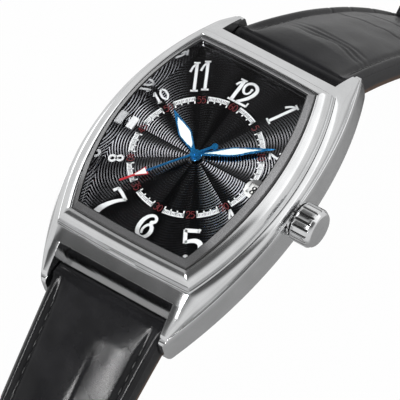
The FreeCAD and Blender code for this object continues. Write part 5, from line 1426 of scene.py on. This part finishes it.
def plate_from_outline(outline, low, high, crown=0.0):
    """Plate with a slightly raised middle line from a closed right-and-left outline."""
    right = list(outline)
    left = [(-x, y) for x, y in reversed(outline)]
    ring = right + left
    count = len(ring)
    points = [(x, y, low) for x, y in ring] + [(x, y, high) for x, y in ring]
    faces = [tuple(reversed(range(count)))]
    faces += [(i, (i + 1) % count, count + (i + 1) % count, count + i) for i in range(count)]
    middle = [(0.0, y, high + crown) for _, y in outline]
    start = len(points)
    points += middle
    side = len(outline)
    for index in range(side - 1):
        faces.append((count + index, count + index + 1, start + index + 1, start + index))
        mirror = 2 * count - 1 - index
        faces.append((start + index, start + index + 1, mirror - 1, mirror))
    faces.append((count + side - 1, count + side, start + side - 1))
    faces.append((2 * count - 1, count, start))
    return points, faces


def disc_solid(radius, low, high, steps=48, bore=0.0, rim=0.05):
    """Round boss with a soft upper rim."""
    rings = [(radius, low), (radius, high - rim), (radius - rim, high)]
    inner = [(bore, high), (bore, low)] if bore else []
    points = []
    for ring_radius, z in rings + inner:
        for step in range(steps):
            turn = 2 * math.pi * step / steps
            points.append((ring_radius * math.cos(turn), ring_radius * math.sin(turn), z))
    faces = grid_faces(len(rings + inner), steps, True)
    if bore:
        last = 4 * steps
        faces += [(last + i, last + (i + 1) % steps, (i + 1) % steps, i) for i in range(steps)]
    else:
        faces += [tuple(range(2 * steps, 3 * steps)), tuple(reversed(range(steps)))]
    return points, faces


class WATCH_OT_hands(bpy.types.Operator):
    """Makes the blued leaf hands with their lume and the arrow seconds hand"""

    bl_idname = "watch.hands"
    bl_label = "Hands"

    def execute(self, context):
        self.leaf("hour", 8.4, 2.0, 303.5, "hours")
        self.leaf("minute", 11.5, 1.5, 56.0, "minutes")
        self.seconds(217.6)
        return {"FINISHED"}

    def leaf(self, label, reach, width, clock, body):
        low = low_high(label + "_hand")[0][2]
        thick = 0.16
        outer = leaf_outline(reach, width, 0.55)
        inset = 0.2
        inner = []
        first, last = 1.35, reach * 0.84
        for index in range(17):
            y = first + (last - first) * index / 16
            halves, ys = zip(*outer)
            half = np.interp(y, ys, halves) - inset
            taper = min(1.0, (index + 0.12) / 1.2, (16 - index + 0.12) / 1.2)
            inner.append((max(half, 0.05) * max(taper, 0.08), y))
        points, faces = plate_from_outline(outer, low, low + thick * 0.75, 0.07)
        blade = new_piece(label + "_hand_blade", turned_points(points, clock), faces,
                          ["blued_steel"], None, 25.0)
        boss_points, boss_faces = disc_solid(0.82, low, low + thick, 48)
        boss = new_piece(label + "_hand_boss", boss_points, boss_faces, ["blued_steel"], body, 40.0)
        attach(blade, body)
        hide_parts(label + "_hand")
        points, faces = plate_from_outline(inner, low + thick * 0.5, low + thick * 0.9, 0.06)
        paste = new_piece(label + "_hand_paste", turned_points(points, clock), faces,
                          ["lume_paste"], body, 40.0)
        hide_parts(label + "_hand_lume")

    def seconds(self, clock):
        low = low_high("seconds_hand")[0][2]
        thick = 0.14
        stem = [(0.2, -2.75), (0.15, 0.0), (0.15, 7.45)]
        points, faces = plate_from_outline(stem, low, low + thick, 0.05)
        parts = [(turned_points(points, clock), faces)]
        weight_points, weight_faces = disc_solid(0.5, low, low + thick, 32, 0.0)
        shifted = [(x, y - 3.0, z) for x, y, z in weight_points]
        parts.append((turned_points(shifted, clock), weight_faces))
        parts.append(disc_solid(0.66, low, low + thick * 1.2, 48, 0.0))
        pin_points, pin_faces = disc_solid(0.27, low + thick, low + thick * 2.6, 32, 0.0, 0.08)
        parts.append((pin_points, pin_faces))
        points, faces = gather(parts)
        piece = new_piece("seconds_hand_stem", points, faces, ["blued_steel"], "seconds", 30.0)
        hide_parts("seconds_hand")
        red_outline = [(0.66, 7.25), (0.36, 8.4), (0.16, 9.2), (0.14, 11.3), (0.05, 11.5)]
        points, faces = plate_from_outline(red_outline, low, low + thick * 0.8, 0.03)
        red = new_piece("seconds_hand_tip", turned_points(points, clock), faces, ["signal_red"],
                        "seconds", 30.0)
        white_outline = [(0.5, 7.42), (0.26, 8.3), (0.08, 9.1)]
        points, faces = plate_from_outline(white_outline, low + thick * 0.6, low + thick * 1.1,
                                           0.03)
        white = new_piece("seconds_hand_arrow", turned_points(points, clock), faces, ["lume_paste"],
                          "seconds", 30.0)


# Crown


class WATCH_OT_crown(bpy.types.Operator):
    """Makes the fluted crown with its polished end and flat face"""

    bl_idname = "watch.crown"
    bl_label = "Crown"

    def execute(self, context):
        low, high = low_high("crown")
        start, end = low[0], high[0]
        centre_z = (low[2] + high[2]) / 2
        radius = (high[1] - low[1]) / 2
        flutes, per_flute = 18, 16
        count = flutes * per_flute

        def ring(x, base, depth):
            points = []
            for step in range(count):
                turn = 2 * math.pi * step / count
                phase = (step % per_flute) / per_flute
                dip = max(0.0, 1 - (min(phase, 1 - phase) / 0.15) ** 2)
                reach = base - depth * dip
                points.append((x, reach * math.sin(turn), centre_z + reach * math.cos(turn)))
            return points

        body_start = start + 0.55
        rings = [ring(start, 1.15, 0), ring(start, 2.6, 0.2), ring(start + 0.06, 2.8, 0.3),
                 ring(start + 0.36, 2.8, 0.3), ring(start + 0.42, 2.3, 0), ring(body_start, 2.3, 0),
                 ring(body_start + 0.02, radius - 0.32, 0.0),
                 ring(body_start + 0.22, radius - 0.06, 0.24),
                 ring(body_start + 0.34, radius, 0.34)]
        face_start = end - 0.62
        for share in (0.2, 0.4, 0.6, 0.8):
            along = body_start + 0.34 + (face_start - body_start - 0.6) * share
            rings.append(ring(along, radius, 0.34))
        rings += [ring(face_start - 0.22, radius, 0.34),
                  ring(face_start - 0.06, radius - 0.04, 0.24),
                  ring(face_start, radius - 0.14, 0.06), ring(face_start + 0.1, radius - 0.2, 0),
                  ring(end - 0.2, radius - 0.34, 0), ring(end - 0.06, radius - 0.48, 0),
                  ring(end - 0.01, radius - 0.62, 0), ring(end, radius - 0.7, 0),
                  ring(end, 1.2, 0), ring(end, 0.02, 0)]
        points = np.concatenate([np.array(r) for r in rings])
        faces = grid_faces(len(rings), count, True)
        faces += [tuple(range(len(points) - count, len(points)))]
        # Painted shade: faces in the bottoms of the grooves and round the recessed neck get the
        # dark steel.
        marks = []
        for row in range(len(rings) - 1):
            for step in range(count):
                phase = (step % per_flute + 0.5) / per_flute
                groove = min(phase, 1 - phase) < 0.12 and 7 <= row < 14
                marks.append(1 if groove or row in (4, 5) else 0)
        marks.append(0)
        piece = new_piece("crown_fluted", points, faces, ["polished_steel", "groove_steel"],
                          "crown", 32.0, marks=marks, shell=True)
        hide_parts("crown")
        return {"FINISHED"}


# Strap


UPPER_ANGLES = (40.0, 72.0)
LOWER_ANGLES = (25.0, 42.312)
TIP_LENGTH = 9.0
STITCH_LINE = 1.75
STRAP_TUBE = 1.8
STRAP_BORE = 0.8
COLLAR_RUN = 2.3


class StrapLine:
    """Centre line of one strap half, bent in an arc from its spring bar."""

    def __init__(self, sign, reach, start, end):
        strap = settings()[2]
        self.sign, self.reach = sign, reach
        self.start = math.radians(start)
        self.radius = reach / (math.radians(end) - self.start)
        self.strap = strap

    def slope(self, run):
        return self.start + run / self.radius

    def point(self, run, rise=0.0):
        slope = self.slope(run)
        y = mm(self.strap.bar_y) + self.radius * (math.sin(slope) - math.sin(self.start))
        z = mm(self.strap.bar_z) - self.radius * (math.cos(self.start) - math.cos(slope))
        return self.sign * (y + rise * math.sin(slope)), z + rise * math.cos(slope)

    def width(self, run):
        full, narrow = mm(self.strap.start_width), mm(self.strap.end_width)
        left = max(0.0, 1 - max(run, 0.0) / mm(self.strap.taper))
        return narrow + (full - narrow) * left**2

    def thickness(self, run):
        thin = mm(self.strap.end_thickness)
        left = max(0.0, 1 - max(run, 0.0) / mm(self.strap.padded))
        return thin + (mm(self.strap.lug_thickness) - thin) * left

    def tip_share(self, run):
        start = self.reach - TIP_LENGTH
        if self.sign > 0 or run <= start:
            return 1.0
        return math.sqrt(max(0.0, 1 - ((run - start) / (TIP_LENGTH * 1.06)) ** 2))


def padding(run, across, line, seed):
    """Height of the outer leather over the flat strap at a place on it."""
    pad = max(0.0, 1 - max(run, 0.0) / (mm(line.strap.padded) * 1.4))
    from_edge = (1 - abs(across)) * line.width(run) / 2
    roll = 0.34 * math.exp(-((from_edge - 0.85) / 0.55) ** 2)
    groove = -0.40 * math.exp(-((from_edge - STITCH_LINE) / 0.36) ** 2)
    inner = min(1.0, abs(across) / 0.84)
    crown = (0.35 + 0.95 * pad) * (1 - inner**2.2)
    fall = -0.45 * math.exp(-(from_edge / 0.28) ** 1.5)
    near = min(1.0, max(0.0, run / 5.0)) ** 0.7
    height = (roll + groove) * near + (crown - 0.15) * near + fall
    if line.sign < 0:
        height -= lower_creases(run, across) * near
    else:
        height -= upper_creases(run, across, from_edge)
    wander = noise.noise(Vector((run * 0.16 + seed, across * 2.6, seed))) * 0.16
    return height + wander * near * min(1.0, from_edge / 3)


def crease(distance, depth, width):
    return depth * math.exp(-(distance / width) ** 2)


def wander(x, y, z):
    """Smooth noise that keeps the creases from running straight."""
    return noise.noise(Vector((x, y, z)))


def lower_creases(run, across):
    """Centre crease and the cross lines of the embossed scales."""
    centre = across * 9 - 0.35 * math.sin(run * 0.09) - 1.0
    begins = min(1.0, max(0.0, (run - 6.2) / 1.2))
    total = (crease(centre - 0.2, 0.13, 0.11) + crease(centre + 0.2, 0.11, 0.11)) * begins
    short = math.exp(-((run - 3.6) / 0.8) ** 2)
    total += crease(centre - 0.1, 0.26, 0.22) * short
    side = 1 if centre > 0 else -1
    for index in range(14):
        place = 21.0 + index * 7.4 + side * 1.6
        bend = 0.6 * math.sin(across * 4 + index) + wander(across * 3, index, side) * 0.9
        total += crease(run - place - bend, 0.17, 0.24)
    return total


def upper_creases(run, across, from_edge):
    """Pleats where the leather turns over the bar, then broad scales."""
    total = 0.0
    lean = across * 1.6
    for index, (place, depth, width) in enumerate(
            ((6.2, 0.16, 0.3), (7.4, 0.22, 0.34), (8.8, 0.15, 0.3))):
        bend = 1.1 * (1 - across**2) + wander(across * 2.5, index * 3.1, 0.0) * 0.8
        fade = min(1.0, max(0.0, from_edge / 3)) * (0.55 + 0.45 * math.cos((across - 0.1) * 3))
        total += crease(run - place - bend - lean * 0.25, depth * fade, width)
    for index in range(9):
        place = 24.0 + index * 7.2
        bend = 0.8 * math.sin(across * 3 + index) + wander(across * 3, index, 5.0) * 0.8
        total += crease(run - place - bend, 0.15, 0.26)
    return total


def strap_outer(line, name, seed, steps=250, columns=73):
    """Outer leather: a sheet from under the spring bar, over it and on to the end."""
    lining = mm(line.strap.lining)
    tube, bore = STRAP_TUBE, STRAP_BORE
    stations = []
    for share in np.linspace(0, 1, 5)[:-1]:
        inner = (bore * math.cos(-0.5 - share), bore * math.sin(-0.5 - share * 1.07))
        stations.append(((COLLAR_RUN * (1 - share), -tube), inner, 0.0))
    for share in np.linspace(0, 1, 26)[:-1]:
        turn = -math.pi / 2 - math.pi * share
        stations.append(((tube * math.cos(turn), tube * math.sin(turn)),
                         (bore * math.cos(turn), bore * math.sin(turn)), 0.0))
    end = line.reach
    for share in np.linspace(0, 1, steps):
        run = end * share
        half = line.thickness(run) / 2 + 0.05 * (1 - share)
        split = -line.thickness(run) / 2 + lining
        if run < COLLAR_RUN:
            turn = math.pi / 2 - 2.0 * run / COLLAR_RUN
            inner = (bore * math.cos(turn), bore * math.sin(turn))
        else:
            inner = (run, split)
        stations.append(((run, half), inner, run))
    across = np.linspace(-1, 1, columns)
    across = np.sign(across) * np.abs(across) ** 0.8
    outer_points, inner_points = [], []
    for (run_out, rise_out), (run_in, rise_in), run in stations:
        wide = line.width(run) / 2 * line.tip_share(run)
        for v in across:
            on_top = rise_out > 0 and run_out >= 0 and run > 0
            if on_top:
                rise = rise_out + padding(run, v, line, seed)
                y, z = line.point(run_out, rise)
            else:
                y, z = straight_point(line, run_out, rise_out)
            outer_points.append((v * wide, y, z))
            if run > COLLAR_RUN:
                y, z = line.point(run_in, rise_in)
            else:
                y, z = straight_point(line, run_in, rise_in)
            inner_points.append((v * wide, y, z))
    rows = len(stations)
    points = outer_points + inner_points
    shift = len(outer_points)
    faces = grid_faces(rows, columns)
    marks = [0] * len(faces)
    inner_faces = [tuple(reversed([corner + shift for corner in face]))
                   for face in grid_faces(rows, columns)]
    faces += inner_faces
    marks += [1] * len(inner_faces)
    for row in range(rows - 1):
        first, second = row * columns, (row + 1) * columns
        faces.append((first, second, second + shift, first + shift))
        faces.append((second + columns - 1, first + columns - 1, first + columns - 1 + shift,
                      second + columns - 1 + shift))
        marks += [1, 1]
    for row in (0, rows - 1):
        first = row * columns
        for column in range(columns - 1):
            faces.append((first + column, first + column + 1, first + column + 1 + shift,
                          first + column + shift))
            marks.append(1)
    piece = new_piece(name, points, faces, ["strap_leather", "strap_edge"], None, 50.0,
                      marks=marks, shell=True)
    return piece


def straight_point(line, run, rise):
    """Point near the spring bar, in the line's own straight axes there."""
    slope = line.start
    y = mm(line.strap.bar_y) + run * math.cos(slope) + rise * math.sin(slope)
    z = mm(line.strap.bar_z) - run * math.sin(slope) + rise * math.cos(slope)
    return line.sign * y, z


def strap_under(line, name, steps=120, columns=17):
    """Lining leather, a plain sheet under the outer one."""
    lining = mm(line.strap.lining)
    end = line.reach - (0.0 if line.sign < 0 else 1.6)
    rows = []
    for run in np.linspace(2.35, end, steps):
        half = line.thickness(run) / 2
        wide = (line.width(run) / 2 - 0.06) * line.tip_share(run)
        across = np.linspace(-1, 1, columns)
        under = []
        for v in across:
            soft = 0.12 * max(0.0, abs(v) - 0.94) / 0.06
            under.append((v * wide, -half + soft))
        ring = under + [(-v * wide, -half + lining - 0.01) for v in across]
        points = []
        for x, rise in ring:
            y, z = line.point(run, rise)
            points.append((x, y, z))
        rows.append(points)
    count = 2 * columns
    points = np.concatenate([np.array(row) for row in rows])
    faces = grid_faces(len(rows), count, True)
    faces += [tuple(range(count)), tuple(reversed(range(len(points) - count, len(points))))]
    piece = new_piece(name, points, faces, ["lining_leather"], None, 40.0, shell=True)
    return piece


def stitch_row(line, side, seed, first, last):
    """Places of the stitches along one edge of a strap half."""
    places = []
    run = first
    pitch = mm(line.strap.stitch)
    while run < last:
        share = 1 - STITCH_LINE / (line.width(run) / 2)
        across = side * share
        rise = line.thickness(run) / 2 + padding(run, across, line, seed) + 0.06
        y, z = line.point(run, rise)
        slope = line.slope(run)
        x = across * line.width(run) / 2 * line.tip_share(run)
        places.append(((x, y, z), slope))
        run += pitch
    return places


STITCH_LENGTH = 1.35
STITCH_THICKNESS = 0.24


def stitches(name, places, body, sign):
    """Stitches set on points by a node tree and turned along the strap."""
    mesh = bpy.data.meshes.new(name)
    mesh.from_pydata([tuple(np.array(place) * MM) for place, _ in places], [], [])
    lean = mesh.attributes.new("lean", "FLOAT", "POINT")
    lean.data.foreach_set("value", [(-slope if sign > 0 else slope) for _, slope in places])
    piece = bpy.data.objects.new(name, mesh)
    bpy.context.scene.collection.objects.link(piece)
    tree = Repeat(name, {"Length": "NodeSocketFloat", "Thickness": "NodeSocketFloat"})
    thick = tree.entry.outputs["Thickness"]
    size = tree.node("ShaderNodeCombineXYZ", None, thick, tree.entry.outputs["Length"], thick)
    ball = tree.node("GeometryNodeMeshUVSphere", None, Segments=8, Rings=5, Radius=0.5)
    shaped = tree.node("GeometryNodeTransform", None, Geometry=ball.outputs[0],
                       Scale=size.outputs[0])
    leans = tree.node("GeometryNodeInputNamedAttribute", {"data_type": "FLOAT"}, Name="lean")
    spin = tree.node("ShaderNodeCombineXYZ", None, X=leans.outputs["Attribute"])
    tree.copies(tree.entry.outputs["Geometry"], shaped.outputs[0], spin.outputs[0], "thread")
    tree.apply_to(piece, Length=STITCH_LENGTH * MM, Thickness=STITCH_THICKNESS * MM)
    smoothed(piece.data, 180.0)
    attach(piece, body)
    return piece


class WATCH_OT_straps(bpy.types.Operator):
    """Makes both strap halves: padded outer leather, lining and stitches"""

    bl_idname = "watch.straps"
    bl_label = "Straps"

    def execute(self, context):
        strap = settings()[2]
        upper = StrapLine(1, mm(strap.upper_length), *UPPER_ANGLES)
        lower = StrapLine(-1, mm(strap.lower_length), *LOWER_ANGLES)
        for line, label, body, seed in ((upper, "strap_upper", "strap_top", 3.0),
                                        (lower, "strap_lower", "strap_bottom", 11.0)):
            outer = strap_outer(line, label + "_leather", seed)
            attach(outer, body)
            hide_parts(label)
            under = strap_under(line, label + "_lining_sheet")
            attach(under, body)
            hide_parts(label + "_lining")
            places = []
            for side in (-1, 1):
                places += stitch_row(line, side, seed, 4.0, line.reach - 11.0)
            stitches(label + "_stitches", places, body, line.sign)
        return {"FINISHED"}


PLAIN_FINISHES = {
    "crystal_gasket": "seal_rubber", "case_back_gasket": "seal_rubber",
    "crown_gasket": "seal_rubber",
    "movement_ring": "holder_plastic", "main_plate": "rhodium_plate",
    "barrel_bridge": "rhodium_plate", "train_bridge": "rhodium_plate",
    "balance_cock": "rhodium_plate", "calendar_plate": "rhodium_plate", "rotor": "rhodium_plate",
    "bridge_screws": "blued_steel", "rotor_screw": "blued_steel", "rotor_bearing": "polished_steel",
    "mainspring_barrel": "gilt_brass", "centre_wheel": "gilt_brass", "third_wheel": "gilt_brass",
    "fourth_wheel": "gilt_brass", "minute_wheel": "gilt_brass", "hour_wheel": "polished_steel",
    "balance_wheel": "gilt_brass", "ratchet_wheel": "brushed_steel",
    "escape_wheel": "polished_steel", "pallet_fork": "polished_steel",
    "cannon_pinion": "polished_steel", "hairspring": "blued_steel", "date_disc": "date_ground",
    "winding_stem": "polished_steel", "crown_tube": "polished_steel",
}

BODY_OF = {node: body for body, nodes in frame["record"]["behaviour"]["bodies"].items()
           for node in nodes}


BAR_EASE = 0.03


class WATCH_OT_plain_pieces(bpy.types.Operator):
    """Finishes the movement, the case back, the buckle and the keepers"""

    bl_idname = "watch.plain_pieces"
    bl_label = "Movement, back and buckle"

    def execute(self, context):
        for node, finish in PLAIN_FINISHES.items():
            dress(node, finish)
        smooth_copy("case_back", "brushed_steel", BODY_OF["case_back"], 30)
        for node in ("case_back_screws", "spring_bar_upper", "spring_bar_lower", "buckle_frame",
                     "buckle_bar", "buckle_tongue"):
            ease = BAR_EASE if node == "buckle_bar" else 0
            smooth_copy(node, "polished_steel", BODY_OF[node], 30, ease)
        for node in ("fixed_keeper", "free_keeper"):
            smooth_copy(node, "strap_leather", BODY_OF[node], 40)
        return {"FINISHED"}


# Stage


class WATCH_OT_stage(bpy.types.Operator):
    """Sets the floor, the lamps, the world and the camera"""

    bl_idname = "watch.stage"
    bl_label = "Stage"

    def execute(self, context):
        scene = context.scene
        self.floor()
        self.world(scene)
        self.lamps(scene)
        self.camera(scene)
        scene.view_settings.view_transform = "Standard"
        return {"FINISHED"}

    def floor(self):
        half = 3000.0
        points = [(-half, -half, FLOOR - 0.05), (half, -half, FLOOR - 0.05),
                  (half, half, FLOOR - 0.05), (-half, half, FLOOR - 0.05)]
        floor = Finish("stage_floor")
        light = floor.node("ShaderNodeEmission", None, Color=(1, 1, 1, 1), Strength=1.0)
        floor.set(Base_Color=(0.15, 0.15, 0.15, 1), Roughness=0.9)
        path = floor.node("ShaderNodeLightPath")
        camera = Wire(floor, path.outputs["Is Camera Ray"])
        gloss = Wire(floor, path.outputs["Is Glossy Ray"])
        through = Wire(floor, path.outputs["Is Transmission Ray"])
        x, y, z = floor.axes()
        # Painted shade: glossy rays see the white floor only faintly near the watch and more fully
        # farther out, standing in for the shadow under it.
        away = (x * x + y * y) ** 0.5
        share = away.soft(50.0, 170.0) * 0.75 + 0.03
        white = (camera * 0.985 + gloss * share + through * 0.985).maths("MINIMUM", 0.985)
        mix = floor.node("ShaderNodeMixShader", None)
        floor.feed(mix.inputs[0], white)
        floor.feed(mix.inputs[1], floor.surface.outputs[0])
        floor.feed(mix.inputs[2], light.outputs[0])
        floor.tree.links.new(mix.outputs[0], floor.output.inputs[0])
        FINISHES["stage_floor"] = floor.material
        piece = new_piece("studio_floor", points, [(0, 1, 2, 3)], ["stage_floor"], None)

    def world(self, scene):
        """Pale room with a dark card over the dial and softboxes beside it."""
        world = bpy.data.worlds.new("Studio")
        scene.world = world
        world.use_nodes = True
        room = Graph(world.node_tree)
        output = room.node("ShaderNodeOutputWorld")
        way = room.node("ShaderNodeTexCoord").outputs["Generated"]
        split = room.node("ShaderNodeSeparateXYZ", None, way)
        x, y, z = [Wire(room, split.outputs[index]) for index in range(3)]

        def softbox(direction, inner, outer):
            dot = room.node("ShaderNodeVectorMath", {"operation": "DOT_PRODUCT"}, way, direction)
            return Wire(room, dot.outputs["Value"]).soft(
                math.cos(math.radians(outer)), math.cos(math.radians(inner)))

        level = 0.90 - z.soft(0.3, 0.75) * 0.38
        over = z.soft(0.55, 0.8) * x.soft(-0.3, -0.12) * (1.0 - y.soft(0.1, 0.25))
        level = level * (1.0 - over * 0.8)
        across, along = (x + 0.41) / 0.2, (y - 0.34) / 0.36
        card = (across * across + along * along).soft(0.6, 1.3)
        sheen = y.soft(0.30, 0.62) * 0.30 + 0.04
        aside, before = (x + 0.42) / 0.24, (y + 0.62) / 0.17
        front = (aside * aside + before * before).soft(0.6, 1.3)
        level = level * (1.0 - (1.0 - front) * z.soft(0.2, 0.4) * 0.9)
        level = level * (1.0 - (1.0 - card) * z.soft(0.2, 0.4) * (1.0 - sheen))
        roof = x.soft(-0.16, -0.04) * y.soft(0.14, 0.28) * z.soft(0.25, 0.4)
        level = level + roof * 0.8
        level = level + softbox((0.0, -0.60, 0.80), 1, 8) * 75.0
        level = level + softbox((-0.76, 0.12, 0.64), 9, 17) * 2.0
        back = room.node("ShaderNodeBackground", None, Strength=1.0)
        shade_mix = room.node("ShaderNodeCombineXYZ", None, level, level, level)
        room.feed(back.inputs["Color"], shade_mix.outputs[0])
        clear = room.node("ShaderNodeBackground", None, Color=(1, 1, 1, 1), Strength=1.0)
        path = room.node("ShaderNodeLightPath")
        mix = room.node("ShaderNodeMixShader", None)
        room.feed(mix.inputs[0], path.outputs["Is Camera Ray"])
        room.feed(mix.inputs[1], back.outputs[0])
        room.feed(mix.inputs[2], clear.outputs[0])
        room.tree.links.new(mix.outputs[0], output.inputs[0])

    def lamps(self, scene):
        for name, place, size, power in (
                ("key_lamp", (0.18, 0.20, 0.42), (0.30, 0.30), 2.6),
                ("side_lamp", (-0.40, 0.06, 0.30), (0.16, 0.40), 1.4),
                ("front_lamp", (0.02, -0.42, 0.36), (0.30, 0.14), 1.2)):
            lamp = bpy.data.lights.new(name, "AREA")
            lamp.shape = "RECTANGLE"
            lamp.size, lamp.size_y = size
            lamp.energy = power
            holder = bpy.data.objects.new(name, lamp)
            holder.visible_glossy = False
            scene.collection.objects.link(holder)
            holder.location = place
            holder.rotation_euler = (Vector((0, 0, 0)) - Vector(place)).to_track_quat(
                "-Z", "Y").to_euler()

    def camera(self, scene):
        lens = bpy.data.cameras.new("photo_camera")
        lens.lens = 400.74
        lens.sensor_width = 36.0
        lens.sensor_fit = "HORIZONTAL"
        lens.clip_start, lens.clip_end = 0.01, 20.0
        camera = bpy.data.objects.new("photo_camera", lens)
        scene.collection.objects.link(camera)
        across, up, back = CAMERA_AXES
        turn = Matrix((across, up, back)).transposed().to_4x4()
        turn.translation = Vector(CAMERA_PLACE) * MM
        camera.matrix_world = turn
        scene.camera = camera


CAMERA_AXES = ((0.8107, 0.5659, -0.1499), (-0.4351, 0.7538, 0.4925), (0.3917, -0.3341, 0.8573))
CAMERA_PLACE = (252.455, -216.951, 551.142)


class WATCH_PT_panel(bpy.types.Panel):
    """Lists the steps that finish the watch"""

    bl_idname = "WATCH_PT_panel"
    bl_label = "Tonneau Wristwatch"
    bl_space_type = "VIEW_3D"
    bl_region_type = "UI"
    bl_category = "Watch"

    def draw(self, context):
        for step in STEPS:
            self.layout.operator(step.bl_idname)


STEPS = (
    WATCH_OT_case, WATCH_OT_bezel, WATCH_OT_crystal, WATCH_OT_rehaut, WATCH_OT_dial,
    WATCH_OT_numerals, WATCH_OT_minute_track, WATCH_OT_hands, WATCH_OT_crown, WATCH_OT_straps,
    WATCH_OT_plain_pieces, WATCH_OT_stage,
)
CLASSES = (CaseSizes, OpeningSizes, StrapSizes, WatchColours, *STEPS, WATCH_PT_panel)
GROUPS = {
    "watch_case": CaseSizes, "watch_opening": OpeningSizes, "watch_strap": StrapSizes,
    "watch_colours": WatchColours,
}


def register():
    for item in CLASSES:
        bpy.utils.register_class(item)
    for name, group in GROUPS.items():
        setattr(bpy.types.Scene, name, bpy.props.PointerProperty(type=group))


def unregister():
    for name in GROUPS:
        delattr(bpy.types.Scene, name)
    for item in reversed(CLASSES):
        bpy.utils.unregister_class(item)


def main():
    register()
    for step in STEPS:
        group, name = step.bl_idname.split(".")
        getattr(getattr(bpy.ops, group), name)()


if __name__ == "__main__":
    main()
